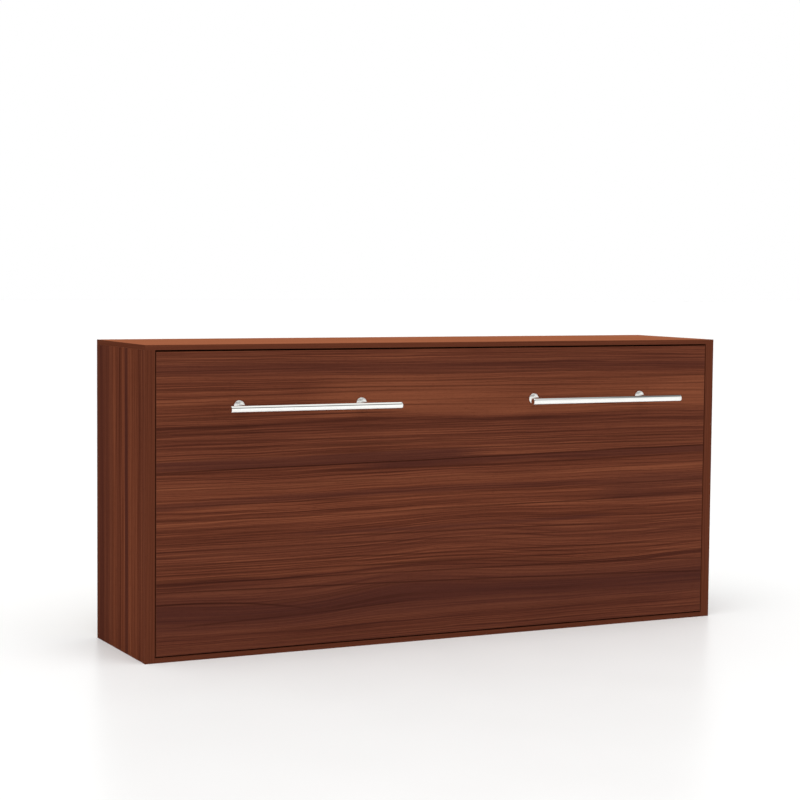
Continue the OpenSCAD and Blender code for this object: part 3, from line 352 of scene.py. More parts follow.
@dataclass(frozen=True)
class Walnut:
    """Matt laminate with a reddish walnut figure that runs along one axis.

    Attributes:
        name: The material's name.
        grain: How its figure runs.
        dark: The colour of its lines and pores.
        deep: The colour of its dark streaks.
        middle: Its middle colour.
        light: The colour of its light streaks and glows.
        dusk: The colour of its broad bands and belts.
        seed: Where its noise starts.
        sway: How far the figure wanders across the grain.
        lined: How strong the fine lines are.
        gloss: How strongly it mirrors light.
        bands: Its broad bands, from the lowest to the highest.
        swirls: Where the figure bends aside.
        lines: Its long dark lines.
        belts: Its wider dark lines.
        glows: Its wide light lines.
    """

    name: str
    grain: Grain
    dark: Tone = tone(54, 24, 16)
    deep: Tone = tone(84, 42, 28)
    middle: Tone = tone(106, 56, 38)
    light: Tone = tone(140, 80, 54)
    dusk: Tone = tone(70, 36, 30)
    seed: float = 0.0
    sway: float = 0.02
    lined: float = 0.8
    gloss: float = 0.02
    bands: tuple[Band, ...] = ()
    swirls: tuple[Swirl, ...] = ()
    lines: tuple[Line, ...] = ()
    belts: tuple[Line, ...] = ()
    glows: tuple[Line, ...] = ()

    def _bent(self, s: Shading, along: Socket, across: Socket) -> Socket:
        """The place across the grain after the figure's waves and swirls."""
        ripple = 0.006
        slow = s.cloud(along, across, (0.6, 2.2), self.seed)
        swell = s.cloud(along, across, (3.4, 11.0), self.seed + 3.7, 2.0)
        bent = s.total((across, 1.0), (slow, 2 * self.sway), (swell, 2 * ripple))
        for swirl in self.swirls:
            u = s.maths("DIVIDE", s.maths("SUBTRACT", along, swirl.along), swirl.length)
            v = s.maths("DIVIDE", s.maths("SUBTRACT", across, swirl.across), swirl.height)
            reach = s.maths("MULTIPLY_ADD", u, u, s.maths("MULTIPLY", v, v))
            fade = s.maths("EXPONENT", s.maths("MULTIPLY", reach, -1.0))
            bent = s.maths("MULTIPLY_ADD", fade, swirl.lift, bent)
        return s.maths("SUBTRACT", bent, self.sway + ripple)

    def _banded(self, s: Shading, ring: Socket, tint: Socket) -> Socket:
        """Lays the broad dark bands over the tint."""
        low, high = self.bands[0].place, self.bands[-1].place
        stops = [((band.place - low) / (high - low), (band.depth,) * 3 + (1.0,)) for band in self.bands]
        return s.blend(s.ramp(s.span(ring, low, high), stops, "EASE"), tint, self.dusk)

    def _struck(self, s: Shading, along: Socket, across: Socket, lines: Sequence[Line]) -> Socket:
        """How strong a few long lines are at each place."""
        waver, fade = 0.004, 0.08
        wobble = s.cloud(along, across, (2.3, 7.0), self.seed + 9.0)
        square = s.maths("MULTIPLY", along, along)
        place = s.total((across, 1.0), (wobble, 2 * waver))
        struck: Given = 0.0
        for line in lines:
            first, middle, last = line.places
            curve = s.total((along, (last - first) / 2), (square, (first + last) / 2 - middle))
            beside = s.maths("SUBTRACT", s.maths("SUBTRACT", place, middle + waver), curve)
            off = s.maths("ABSOLUTE", beside)
            share = s.span(off, line.half, line.half + line.soft, line.depth, 0.0)
            for end, way in zip(line.ends, (fade, -fade)):
                if abs(end) < BEYOND:
                    share = s.maths("MULTIPLY", share, s.span(along, end - way, end + way))
            struck = s.maths("MAXIMUM", share, struck)
        wear = s.cloud(along, across, (1.3, 14.0), self.seed + 20.0)
        return s.maths("MULTIPLY", struck, s.span(wear, 0.35, 0.6, 0.5, 1.0))

    def _laid(
        self, s: Shading, along: Socket, across: Socket, tint: Socket, lines: Sequence[Line], colour: Tone
    ) -> Socket:
        """Lays long lines of one colour over the tint, where there are any."""
        return s.blend(self._struck(s, along, across, lines), tint, colour) if lines else tint

    def material(self) -> bpy.types.Material:
        """Builds the laminate."""
        s = Shading(self.name)
        place = s.place()
        axis, weights = self.grain.value
        along = place[axis]
        across = s.total(*[(p, w) for p, w in zip(place, weights) if w])
        ring = self._bent(s, along, across)
        figure = s.lines(s.maths("ADD", ring, self.seed), 21.0, 3.0, 0.6)
        growth = s.lines(s.maths("ADD", ring, self.seed + 1.3), 84.0, 3.0, 0.66)
        gate = s.cloud(along, across, (1.5, 12.0), self.seed)
        streak = s.cloud(along, ring, (1.7, 250.0), self.seed, 3.0, 0.6)
        hair = s.cloud(along, across, (12.0, 1500.0), 0.0)
        pore = s.span(s.cloud(along, across, (38.0, 900.0), 5.0), 0.60, 0.72)
        fine = s.lines(s.maths("ADD", ring, self.seed + 7.9), 210.0)
        level = s.total((figure, 0.5), (growth, 0.3), (streak, 0.9), (hair, 0.2))
        tones = ((0.0, self.dark), (0.26, self.deep), (0.5, self.middle), (1.0, self.light))
        tint = s.ramp(s.span(level, 0.66, 1.24), tones)
        if self.bands:
            tint = self._banded(s, ring, tint)
        tint = self._laid(s, along, across, tint, self.belts, self.dusk)
        tint = self._laid(s, along, across, tint, self.glows, self.light)
        crisp = s.maths("MAXIMUM", s.span(growth, 0.57, 0.63), s.span(fine, 0.60, 0.68, 0.0, 0.7))
        line = s.maths("MULTIPLY", crisp, s.span(gate, 0.40, 0.60, 0.1, 1.0))
        tint = s.blend(s.maths("MULTIPLY", line, self.lined), tint, self.dark)
        tint = self._laid(s, along, across, tint, self.lines, self.dark)
        tint = s.blend(s.maths("MULTIPLY", pore, 0.35), tint, self.dark)
        s.raised(s.total((hair, 0.3), (streak, 0.3), (pore, -0.9)), 0.08 * MM)
        rough = s.maths("ADD", s.total((streak, 0.12), (pore, 0.12)), 0.4)
        return s.done(Base_Color=tint, Roughness=rough, Specular_IOR_Level=self.gloss)


@dataclass(frozen=True)
class Chipboard:
    """The raw core of a board: pressed chips, with a glue line where two boards meet.

    Attributes:
        name: The material's name.
        glue_x: How far from the bed's middle the glue line lies, or 0 for a core without one.
    """

    name: str
    glue_x: float = 0.0

    def material(self) -> bpy.types.Material:
        """Builds the core."""
        s = Shading(self.name)
        x, y, z = s.place()
        at = s.join(x, y, z)
        chips = s.node("ShaderNodeTexVoronoi")
        s.put(chips.inputs["Vector"], at)
        s.put(chips.inputs["Scale"], 420.0)
        flecks = s.noise(at, 900.0, 3.0, 0.6)
        pick = s.node("ShaderNodeSeparateColor")
        s.put(pick.inputs[0], chips.outputs["Color"])
        tones = (
            (0.0, tone(120, 88, 56)), (0.35, tone(170, 134, 92)), (0.7, tone(196, 164, 120)),
            (1.0, tone(214, 188, 148)),
        )
        tint = s.ramp(pick.outputs[0], tones)
        tint = s.blend(s.span(flecks, 0.35, 0.65, 0.0, 0.4), tint, tone(140, 104, 70))
        if self.glue_x:
            gap = s.maths("ABSOLUTE", s.maths("SUBTRACT", s.maths("ABSOLUTE", x), self.glue_x))
            tint = s.blend(s.span(gap, 0.2 * MM, 0.5 * MM, 0.7, 0.0), tint, tone(90, 62, 40))
        s.raised(s.total((pick.outputs[1], 0.6), (flecks, 0.4)), 0.4 * MM)
        return s.done(Base_Color=tint, Roughness=0.85, Specular_IOR_Level=0.3)


@dataclass(frozen=True)
class Hardboard:
    """Thin pressed fibre board.

    Attributes:
        name: The material's name.
    """

    name: str

    def material(self) -> bpy.types.Material:
        """Builds the board."""
        s = Shading(self.name)
        x, y, z = s.place()
        wisps = s.noise(s.join(x, y, z), 160.0, 4.0, 0.65)
        cloud = s.noise(s.join(x, y, z), 6.0, 2.0)
        flecks = s.noise(s.join(s.maths("MULTIPLY", x, 0.35), y, z), 900.0, 2.0, 0.6)
        level = s.total((wisps, 0.58), (cloud, 0.12), (flecks, 0.3))
        tones = ((0.34, tone(118, 84, 56)), (0.5, tone(146, 108, 74)), (0.66, tone(170, 132, 94)))
        tint = s.ramp(level, tones)
        s.raised(s.total((wisps, 0.6), (flecks, 0.4)), 0.2 * MM)
        return s.done(Base_Color=tint, Roughness=0.72, Specular_IOR_Level=0.3)


@dataclass(frozen=True)
class Plated:
    """Bare or plated metal: bright, with faint smears or brush marks.

    Attributes:
        name: The material's name.
        base: Its mean colour.
        stain: The colour that its blotches lean to.
        rough: Its lowest and highest roughness.
        marks: How many marks stand in a metre.
        relief: How deep its fine grain is.
    """

    name: str
    base: Tone
    stain: Tone
    rough: tuple[float, float]
    marks: float = 60.0
    relief: float = 0.01 * MM

    def material(self) -> bpy.types.Material:
        """Builds the metal."""
        s = Shading(self.name)
        at = s.join(*s.place())
        cloud = s.noise(at, self.marks * 0.3)
        grit = s.noise(at, self.marks * 12, rough=0.6)
        tint = s.blend(s.span(cloud, 0.35, 0.65), self.base, self.stain)
        level = s.total((cloud, 0.6), (grit, 0.4))
        s.raised(grit, self.relief)
        rough = s.span(level, 0.35, 0.65, *self.rough)
        return s.done(Base_Color=tint, Metallic=1.0, Roughness=rough)


@dataclass(frozen=True)
class Coated:
    """Paint, plastic or rubber: one tone with a fine skin.

    Attributes:
        name: The material's name.
        base: Its mean colour.
        worn: The colour of its lighter specks.
        rough: Its lowest and highest roughness.
        skin: How many bumps stand in a metre.
        depth: How deep the bumps are.
        coat: The strength of a clear coat.
    """

    name: str
    base: Tone
    worn: Tone
    rough: tuple[float, float]
    skin: float = 900.0
    depth: float = 0.12 * MM
    coat: float = 0.0

    def material(self) -> bpy.types.Material:
        """Builds the coating."""
        s = Shading(self.name)
        at = s.join(*s.place())
        bumps = s.noise(at, self.skin, 2.0, 0.55)
        cloud = s.noise(at, 14.0, 3.0)
        share = s.span(s.total((bumps, 0.5), (cloud, 0.5)), 0.38, 0.72, 0.0, 0.8)
        tint = s.blend(share, self.base, self.worn)
        s.raised(bumps, self.depth)
        rough = s.span(cloud, 0.3, 0.7, *self.rough)
        return s.done(Base_Color=tint, Roughness=rough, Coat_Weight=self.coat)


@dataclass(frozen=True)
class BeechPly:
    """Lacquered beech plies glued into a bowed slat.

    Attributes:
        name: The material's name.
        seat: Where the slats' ends lie along Y.
        bow: How far their middles rise.
        half: Half their length.
        middle: The height of their middles.
        thick: Their thickness.
        plies: How many plies they have.
    """

    name: str
    seat: float
    bow: float
    half: float
    middle: float
    thick: float
    plies: int = 6

    def material(self) -> bpy.types.Material:
        """Builds the ply."""
        s = Shading(self.name)
        x, y, z = s.place()
        reach = s.maths("DIVIDE", s.maths("SUBTRACT", z, self.middle), self.half)
        fall = s.maths("MULTIPLY", s.maths("MULTIPLY", reach, reach), self.bow)
        lift = s.maths("SUBTRACT", s.maths("ADD", y, fall), self.seat + self.bow)
        layer = s.maths("MULTIPLY", lift, self.plies / self.thick)
        glue = s.span(s.maths("PINGPONG", layer, 0.5), 0.0, 0.09, 0.55, 0.0)
        grain = s.noise(s.scaled(x, y, z, (260.0, 260.0, 5.0)), 1.0, 3.0, 0.6)
        fleck = s.span(s.noise(s.scaled(x, y, z, (900.0, 900.0, 240.0)), 1.0, 1.0), 0.62, 0.74)
        board = s.lines(x, 6.9, 0.0)
        tones = ((0.34, tone(186, 146, 98)), (0.5, tone(208, 172, 122)), (0.66, tone(222, 192, 146)))
        tint = s.ramp(s.total((grain, 0.7), (board, 0.3)), tones)
        tint = s.blend(s.maths("MULTIPLY", fleck, 0.35), tint, tone(158, 112, 70))
        tint = s.blend(glue, tint, tone(120, 78, 44))
        s.raised(s.total((grain, 0.5), (fleck, -0.5)), 0.08 * MM)
        return s.done(Base_Color=tint, Roughness=0.42, Coat_Weight=0.15, Coat_Roughness=0.3)


@dataclass(frozen=True)
class RawBeech:
    """Unfinished beech with short fine flecks, as dowels are cut from.

    Attributes:
        name: The material's name.
    """

    name: str

    def material(self) -> bpy.types.Material:
        """Builds the wood."""
        s = Shading(self.name)
        x, y, z = s.place()
        grain = s.noise(s.scaled(x, y, z, (60.0, 900.0, 60.0)), 1.0, 3.0)
        fleck = s.span(s.noise(s.scaled(x, y, z, (500.0, 2400.0, 500.0)), 1.0, 1.0), 0.62, 0.72)
        tint = s.ramp(grain, ((0.34, tone(196, 158, 112)), (0.66, tone(224, 192, 148))))
        tint = s.blend(s.maths("MULTIPLY", fleck, 0.4), tint, tone(150, 108, 70))
        s.raised(grain, 0.1 * MM)
        return s.done(Base_Color=tint, Roughness=0.8, Specular_IOR_Level=0.2)


@dataclass(frozen=True)
class QuiltedKnit:
    """White stretch knit, quilted in diamonds with stitched lines, with painted shade along the lines.

    Attributes:
        name: The material's name.
        start: The lattice's first corner along X and Z.
        cell: The lattice's step along X and Z.
        run: How many steps lie between two lines.
        middle: The mattress's middle along Y.
        reach: How far from the middle its faces begin.
    """

    name: str
    start: tuple[float, float]
    cell: tuple[float, float]
    run: int
    middle: float
    reach: float

    def material(self) -> bpy.types.Material:
        """Builds the knit."""
        s = Shading(self.name)
        x, y, z = s.place()
        u = s.maths("DIVIDE", s.maths("SUBTRACT", x, self.start[0]), self.cell[0] * self.run)
        v = s.maths("DIVIDE", s.maths("SUBTRACT", z, self.start[1]), self.cell[1] * self.run)
        rising, falling = s.maths("ADD", u, v), s.maths("SUBTRACT", u, v)
        width, marks, course, wale = 0.009, 30.0, 1.6 * MM, 2.1 * MM
        seams = []
        for line, way in ((rising, falling), (falling, rising)):
            near = s.span(s.maths("PINGPONG", line, 0.5), width * 0.5, width, 1.0, 0.0)
            dash = s.span(s.maths("PINGPONG", s.maths("MULTIPLY", way, marks), 0.5), 0.12, 0.2)
            seams.append(s.maths("MULTIPLY", near, dash))
        depth = s.maths("ABSOLUTE", s.maths("SUBTRACT", y, self.middle))
        flat = s.span(depth, self.reach, self.reach + 3 * MM)
        stitch = s.maths("MULTIPLY", s.maths("MAXIMUM", *seams), flat)
        # Painted shade: soft darker bands along the quilted lines, where the puffed diamonds dip in.
        slopes = [
            s.span(s.maths("PINGPONG", line, 0.5), 0.0, 0.11, 1.0, 0.0) for line in (rising, falling)
        ]
        painted_valley_shade = s.maths("MULTIPLY", s.maths("MAXIMUM", *slopes), flat)
        rows = s.maths("SINE", s.maths("MULTIPLY", s.maths("ADD", x, y), math.tau / course))
        slanted = s.maths("ADD", z, s.maths("MULTIPLY", y, 0.7))
        loops = s.maths("SINE", s.maths("MULTIPLY", slanted, math.tau / wale))
        knit = s.maths("MULTIPLY", rows, loops)
        fuzz = s.noise(s.join(x, y, z), 700.0, 3.0, 0.65)
        cloud = s.noise(s.join(x, y, z), 9.0, 2.0)
        tones = ((0.36, tone(216, 212, 202)), (0.62, tone(236, 233, 226)))
        tint = s.ramp(s.total((fuzz, 0.55), (cloud, 0.45)), tones)
        tint = s.blend(s.span(knit, -1.0, 1.0, 0.16, 0.0), tint, tone(196, 192, 182))
        # The painted valley shade is laid over the knit's colour, darkest on the quilted lines.
        shade = s.maths("MULTIPLY", s.maths("MULTIPLY", painted_valley_shade, painted_valley_shade), 0.32)
        tint = s.blend(shade, tint, tone(178, 173, 162))
        tint = s.blend(s.maths("MULTIPLY", stitch, 0.7), tint, tone(168, 164, 158))
        s.raised(s.total((knit, 0.25), (fuzz, 0.5), (stitch, -1.2)), 0.5 * MM)
        return s.done(
            Base_Color=tint, Roughness=0.88, Sheen_Weight=0.25, Sheen_Roughness=0.5, Specular_IOR_Level=0.2
        )


@dataclass(frozen=True)
class Webbing:
    """Woven band that reads its weave from the piece's UV map, in metres along and across.

    Attributes:
        name: The material's name.
        base: The colour between its threads.
        thread: The colour on its threads.
        rib: The step from one rib to the next.
    """

    name: str
    base: Tone
    thread: Tone
    rib: float = 1.6 * MM

    def material(self) -> bpy.types.Material:
        """Builds the weave."""
        s = Shading(self.name)
        mapped = s.node("ShaderNodeUVMap", uv_map="weave")
        parts = s.node("ShaderNodeSeparateXYZ")
        s.put(parts.inputs[0], mapped.outputs[0])
        along, across = parts.outputs[0], parts.outputs[1]
        slant = s.maths("PINGPONG", s.maths("DIVIDE", across, self.rib * 5), 0.5)
        twill = s.maths("ADD", s.maths("DIVIDE", along, self.rib), s.maths("MULTIPLY", slant, 5.0))
        ribs = s.maths("PINGPONG", twill, 0.5)
        yarns = s.maths("PINGPONG", s.maths("DIVIDE", across, self.rib * 0.6), 0.5)
        fuzz = s.noise(s.join(along, across, 0.0), 2200.0, 2.0)
        height = s.total((ribs, 1.2), (yarns, 0.5), (fuzz, 0.4))
        tint = s.ramp(height, ((0.25, self.base), (1.0, self.thread)))
        s.raised(height, 0.35 * MM)
        return s.done(Base_Color=tint, Roughness=0.8, Sheen_Weight=0.15, Specular_IOR_Level=0.3)


class Finishes:
    """Every material of the bed, made once."""

    def __init__(self, slats: "SlatSizes", quilt: "QuiltSizes") -> None:
        """Builds the materials.

        Args:
            slats: The sizes that the slats' plies follow.
            quilt: The sizes that the mattress's stitching follows.
        """
        self._laminates()
        side_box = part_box("right_side_panel")
        self.core = Chipboard("board_core").material()
        self.glued_core = Chipboard("glued_board_core", middle_of(side_box).x).material()
        self.hardboard = Hardboard("back_hardboard").material()
        self.dowel = RawBeech("dowel_beech").material()
        self._metals()
        self._coatings()
        self.beech = BeechPly(
            "beech_ply", slats.seat, slats.bow, slats.length / 2, slats.middle, slats.thick
        ).material()
        self.knit = QuiltedKnit(
            "quilted_knit", (quilt.low.x, quilt.low.z), quilt.cell, quilt.run,
            middle=middle_of((quilt.low, quilt.high)).y, reach=(quilt.high.y - quilt.low.y) / 2 - 13 * MM,
        ).material()
        self.webbing = Webbing("strap_webbing", tone(24, 24, 27), tone(58, 58, 64)).material()

    def _laminates(self) -> None:
        """Makes the laminate of each board and the bands of their edges."""
        upright, flat = Grain.UPRIGHT_X, Grain.FLAT_X
        shift = upright.value[1][1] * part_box("front_panel")[0].y
        lines, belts, glows = (
            tuple(line.moved(shift) for line in table) for table in (FRONT_LINES, FRONT_BELTS, FRONT_GLOWS)
        )
        self.front = Walnut(
            "walnut_front", upright, seed=2.0, lined=0.45, lines=lines, belts=belts, glows=glows,
            bands=tuple(replace(band, place=band.place + shift) for band in FRONT_BANDS),
            swirls=tuple(replace(swirl, across=swirl.across + shift) for swirl in FRONT_SWIRLS),
        ).material()
        # Painted light: the top board has the front's walnut laminate in lighter tones, standing in for
        # the light that falls on it from above.
        self.top = Walnut(
            "walnut_top", flat, seed=5.0, lined=0.35, gloss=0.0, dark=tone(118, 66, 44),
            deep=tone(138, 80, 54), middle=tone(153, 91, 62), light=tone(172, 106, 77),
            dusk=tone(128, 70, 46),
        ).material()
        self.flat = Walnut("walnut_board", flat, seed=8.0).material()
        self.rail = Walnut("walnut_rail", upright, seed=9.0).material()
        self.side = Walnut(
            "walnut_side", Grain.SIDE_Z, seed=11.0, sway=0.008, lined=0.3, gloss=0.0, bands=SIDE_BANDS,
            belts=SIDE_BELTS,
        ).material()
        edge = dict(
            dark=tone(78, 39, 26), deep=tone(87, 45, 31), middle=tone(95, 50, 34), light=tone(106, 58, 40)
        )
        self.bands = tuple(
            Walnut(name, grain, seed=seed, lined=0.3, gloss=0.0, **edge).material()
            for name, grain, seed in (
                ("walnut_band_long", upright, 14.0), ("walnut_band_end", Grain.ALONG_Y, 15.0),
                ("walnut_band_upright", Grain.POST_Z, 16.0),
            )
        )

    def _metals(self) -> None:
        """Makes the bare and plated metals."""
        self.chrome = Plated(
            "handle_chrome", tone(251, 251, 249), tone(246, 246, 243), (0.02, 0.05), relief=0.001 * MM
        ).material()
        self.satin = Plated(
            "rosette_chrome", tone(252, 251, 250), tone(246, 246, 243), (0.30, 0.38), relief=0.001 * MM
        ).material()
        self.rod = Plated(
            "rod_chrome", tone(224, 226, 230), tone(212, 216, 222), (0.08, 0.16), relief=0.003 * MM
        ).material()
        self.zinc = Plated(
            "zinc_plate", tone(176, 180, 186), tone(168, 172, 170), (0.26, 0.44), marks=90.0
        ).material()
        self.wire = Plated(
            "hoop_zinc", tone(186, 189, 194), tone(172, 176, 180), (0.2, 0.34), marks=50.0
        ).material()
        self.bronze = Plated(
            "bushing_bronze", tone(186, 142, 82), tone(160, 116, 64), (0.3, 0.46)
        ).material()

    def _coatings(self) -> None:
        """Makes the paints, the plastic, the rubber, the piping and the thread."""
        self.powder = Coated(
            "frame_powder", tone(58, 60, 64), tone(74, 76, 80), (0.42, 0.56), 700.0, 0.16 * MM
        ).material()
        self.weld = Coated(
            "frame_weld", tone(52, 54, 58), tone(78, 80, 84), (0.36, 0.5), 1500.0, 0.1 * MM
        ).material()
        self.enamel = Coated(
            "cylinder_enamel", tone(22, 22, 24), tone(34, 34, 36), (0.22, 0.34), 400.0, 0.04 * MM, coat=0.3
        ).material()
        self.plastic = Coated(
            "holder_plastic", tone(30, 30, 32), tone(44, 44, 46), (0.44, 0.58), 2600.0, 0.06 * MM
        ).material()
        self.rubber = Coated(
            "stop_rubber", tone(24, 24, 24), tone(38, 37, 36), (0.72, 0.86), 1800.0, 0.08 * MM
        ).material()
        self.piping = Coated(
            "mattress_piping", tone(206, 203, 196), tone(226, 224, 218), (0.8, 0.9), 1600.0, 0.2 * MM
        ).material()
        self.thread = Coated(
            "strap_thread", tone(120, 120, 124), tone(160, 160, 164), (0.6, 0.7), 2400.0, 0.1 * MM
        ).material()


class Recipe:
    """A Geometry Nodes group under construction, with named inputs."""

    def __init__(self, name: str) -> None:
        """Starts a group that takes a mesh and gives one."""
        self.group = bpy.data.node_groups.new(name, "GeometryNodeTree")
        self.entry = self.group.nodes.new("NodeGroupInput")
        self.exit = self.group.nodes.new("NodeGroupOutput")
        self.source = self.ask("Geometry", "NodeSocketGeometry")
        self.group.interface.new_socket(name="Geometry", in_out="OUTPUT", socket_type="NodeSocketGeometry")

    def ask(self, name: str, kind: str) -> Socket:
        """Adds a named input and gives its socket."""
        self.group.interface.new_socket(name=name, in_out="INPUT", socket_type=kind)
        return self.entry.outputs[name]

    def put(self, socket: Socket, value: Given) -> None:
        """Links a socket to another, or sets its value."""
        if isinstance(value, bpy.types.NodeSocket):
            self.group.links.new(value, socket)
        else:
            socket.default_value = value

    def node(self, kind: str, inputs: dict[Union[str, int], Given], **settings: object) -> bpy.types.Node:
        """Adds a node, sets its properties and then its inputs.

        Args:
            kind: The node's type.
            inputs: Its inputs by name or number.
            **settings: Its properties.

        Returns:
            The node.
        """
        made = self.group.nodes.new(kind)
        for name, value in settings.items():
            setattr(made, name, value)
        for name, value in inputs.items():
            self.put(made.inputs[name], value)
        return made

    def maths(self, operation: str, *values: Given) -> Socket:
        """One step of arithmetic."""
        made = self.node("ShaderNodeMath", dict(enumerate(values)), operation=operation)
        return made.outputs[0]

    def finish(self, geometry: Socket, material: Socket) -> None:
        """Ends the group: real mesh, one material."""
        real = self.node("GeometryNodeRealizeInstances", {"Geometry": geometry})
        painted = self.node("GeometryNodeSetMaterial", {"Geometry": real.outputs[0], "Material": material})
        self.group.links.new(painted.outputs[0], self.exit.inputs[0])

    def make(self, name: str, mesh: bpy.types.Mesh, **values: object) -> bpy.types.Object:
        """Runs the group on a mesh and keeps the plain result.

        Args:
            name: The new piece's name.
            mesh: The mesh that the group starts from.
            **values: The inputs, named with underscores for spaces.

        Returns:
            A plain mesh object with no modifiers.
        """
        piece = link_object(name, mesh)
        modifier = piece.modifiers.new(name, "NODES")
        modifier.node_group = self.group
        for item in self.group.interface.items_tree:
            key = item.name.replace(" ", "_")
            if item.item_type == "SOCKET" and item.in_out == "INPUT" and key in values:
                modifier[item.identifier] = values[key]
        return settled(piece)


def link_object(name: str, mesh: bpy.types.Mesh) -> bpy.types.Object:
    """Puts a mesh in the scene as an object at the origin."""
    piece = bpy.data.objects.new(name, mesh)
    bpy.context.scene.collection.objects.link(piece)
    return piece


def settled(piece: bpy.types.Object) -> bpy.types.Object:
    """Replaces a piece's mesh by what its modifiers make of it, and removes them."""
    graph = bpy.context.evaluated_depsgraph_get()
    graph.update()
    mesh = bpy.data.meshes.new_from_object(piece.evaluated_get(graph))
    mesh.name = piece.name
    piece.modifiers.clear()
    piece.data = mesh
    return piece


def mesh_of(
    name: str, points: Iterable[Sequence[float]], faces: Iterable[Sequence[int]] = (),
    edges: Iterable[Sequence[int]] = (),
) -> bpy.types.Mesh:
    """A mesh from its points with faces, edges or neither."""
    mesh = bpy.data.meshes.new(name)
    mesh.from_pydata(
        [tuple(map(float, point)) for point in points], [tuple(map(int, edge)) for edge in edges],
        [tuple(map(int, face)) for face in faces],
    )
    mesh.update()
    return mesh


def mesh_from(work: bmesh.types.BMesh, name: str) -> bpy.types.Mesh:
    """A mesh from edited faces, which are used up."""
    mesh = bpy.data.meshes.new(name)
    work.to_mesh(mesh)
    work.free()
    return mesh


def chained(
    paths: Sequence[Sequence[Vector]], closed: bool = False
) -> tuple[list[Vector], list[tuple[int, int]]]:
    """The points of a few paths and the edges that link each point to the next."""
    points: list[Vector] = []
    edges: list[tuple[int, int]] = []
    for path in paths:
        start = len(points)
        points += list(path)
        edges += [(start + k, start + k + 1) for k in range(len(path) - 1)]
        if closed:
            edges.append((len(points) - 1, start))
    return points, edges


def smoothed(piece: bpy.types.Object, crease: float = 32.0) -> bpy.types.Object:
    """Shades a piece smooth, with edges sharper than the crease angle kept sharp."""
    piece.data.shade_smooth()
    piece.data.set_sharp_from_angle(angle=math.radians(crease))
    return piece


def outward(mesh: bpy.types.Mesh) -> bpy.types.Mesh:
    """Turns a closed mesh's faces outwards."""
    work = bmesh.new()
    work.from_mesh(mesh)
    bmesh.ops.recalc_face_normals(work, faces=work.faces)
    work.to_mesh(mesh)
    work.free()
    return mesh


def welded(node: str) -> bmesh.types.BMesh:
    """A CAD node's faces with their doubles merged and their flat parts joined."""
    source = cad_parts[node].data
    work = bmesh.new()
    bare = mesh_of(node + "_bare", [v.co for v in source.vertices], [p.vertices for p in source.polygons])
    work.from_mesh(bare)
    bpy.data.meshes.remove(bare)
    bmesh.ops.remove_doubles(work, verts=work.verts, dist=WELD)
    bmesh.ops.dissolve_degenerate(work, edges=work.edges, dist=WELD / 10)
    bmesh.ops.dissolve_limit(work, angle_limit=math.radians(0.2), verts=work.verts, edges=work.edges)
    return work


def solids_of(node: str) -> list[Box]:
    """The boxes of a node's separate solids, ordered by the places of their middles."""
    work = welded(node)
    left = set(work.verts)
    boxes: list[Box] = []
    while left:
        stack = [left.pop()]
        points = []
        while stack:
            vertex = stack.pop()
            points.append(vertex.co.copy())
            for edge in vertex.link_edges:
                other = edge.other_vert(vertex)
                if other in left:
                    left.remove(other)
                    stack.append(other)
        span = np.array(points)
        boxes.append((Vector(span.min(0)), Vector(span.max(0))))
    work.free()
    return sorted(boxes, key=lambda box: tuple(round(c, 4) for c in middle_of(box)))


def middle_of(box: Box) -> Vector:
    """The middle of a box."""
    return (box[0] + box[1]) / 2


def seated(piece: bpy.types.Object, body: str, slot: str, nodes: Sequence[str] = ()) -> None:
    """Fastens a finished piece to its body and hides the nodes that it stands for.

    Args:
        piece: The piece, made in place.
        body: The body that carries it.
        slot: The record's material slot; not used.
        nodes: The CAD nodes that it stands for.
    """
    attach(piece, body)
    if nodes:
        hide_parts(*nodes)
    log.info("%-28s rides on %-20s %6d faces", piece.name, body, len(piece.data.polygons))


def side_of(face: bpy.types.MeshPolygon, box: Box) -> Optional[Side]:
    """The side of a box that a face lies on, or None for a face inside it."""
    for side in Side:
        axis, way = side.value
        bound = box[1][axis] if way > 0 else box[0][axis]
        if face.normal[axis] * way > 0.99 and abs(face.center[axis] - bound) < 0.3 * MM:
            return side
    return None


def dressed(
    node: str, name: str, finish: bpy.types.Material, radius: float, body: str, slot: str,
    crease: float = 40.0,
) -> None:
    """Sets a copy of a rigid CAD node, with its sharp edges broken, in the node's place.

    Args:
        node: The CAD node.
        name: The copy's name.
        finish: Its material.
        radius: The radius of the broken edges.
        body: The body that carries it.
        slot: The record's material slot.
        crease: The angle in degrees past which an edge is broken.
    """
    mesh = mesh_from(welded(node), name)
    mesh.materials.append(finish)
    seated(rounded_edges(link_object(name, mesh), radius, crease), body, slot, [node])


def rounded_edges(
    piece: bpy.types.Object, radius: float, crease: float = 40.0, skin: int = -1
) -> bpy.types.Object:
    """Breaks a piece's sharp edges by a small radius and shades it smooth.

    Args:
        piece: The piece.
        radius: The radius of the broken edges.
        crease: The angle in degrees past which an edge is broken.
        skin: The number of the broken edges' material, or -1 for that of the faces beside them.

    Returns:
        The piece.
    """
    piece.data.shade_smooth()
    edge = piece.modifiers.new("broken_edges", "BEVEL")
    edge.width = radius
    edge.segments = 2
    edge.material = skin
    edge.limit_method = "ANGLE"
    edge.angle_limit = math.radians(crease)
    edge.use_clamp_overlap = True
    edge.harden_normals = True
    return settled(piece)


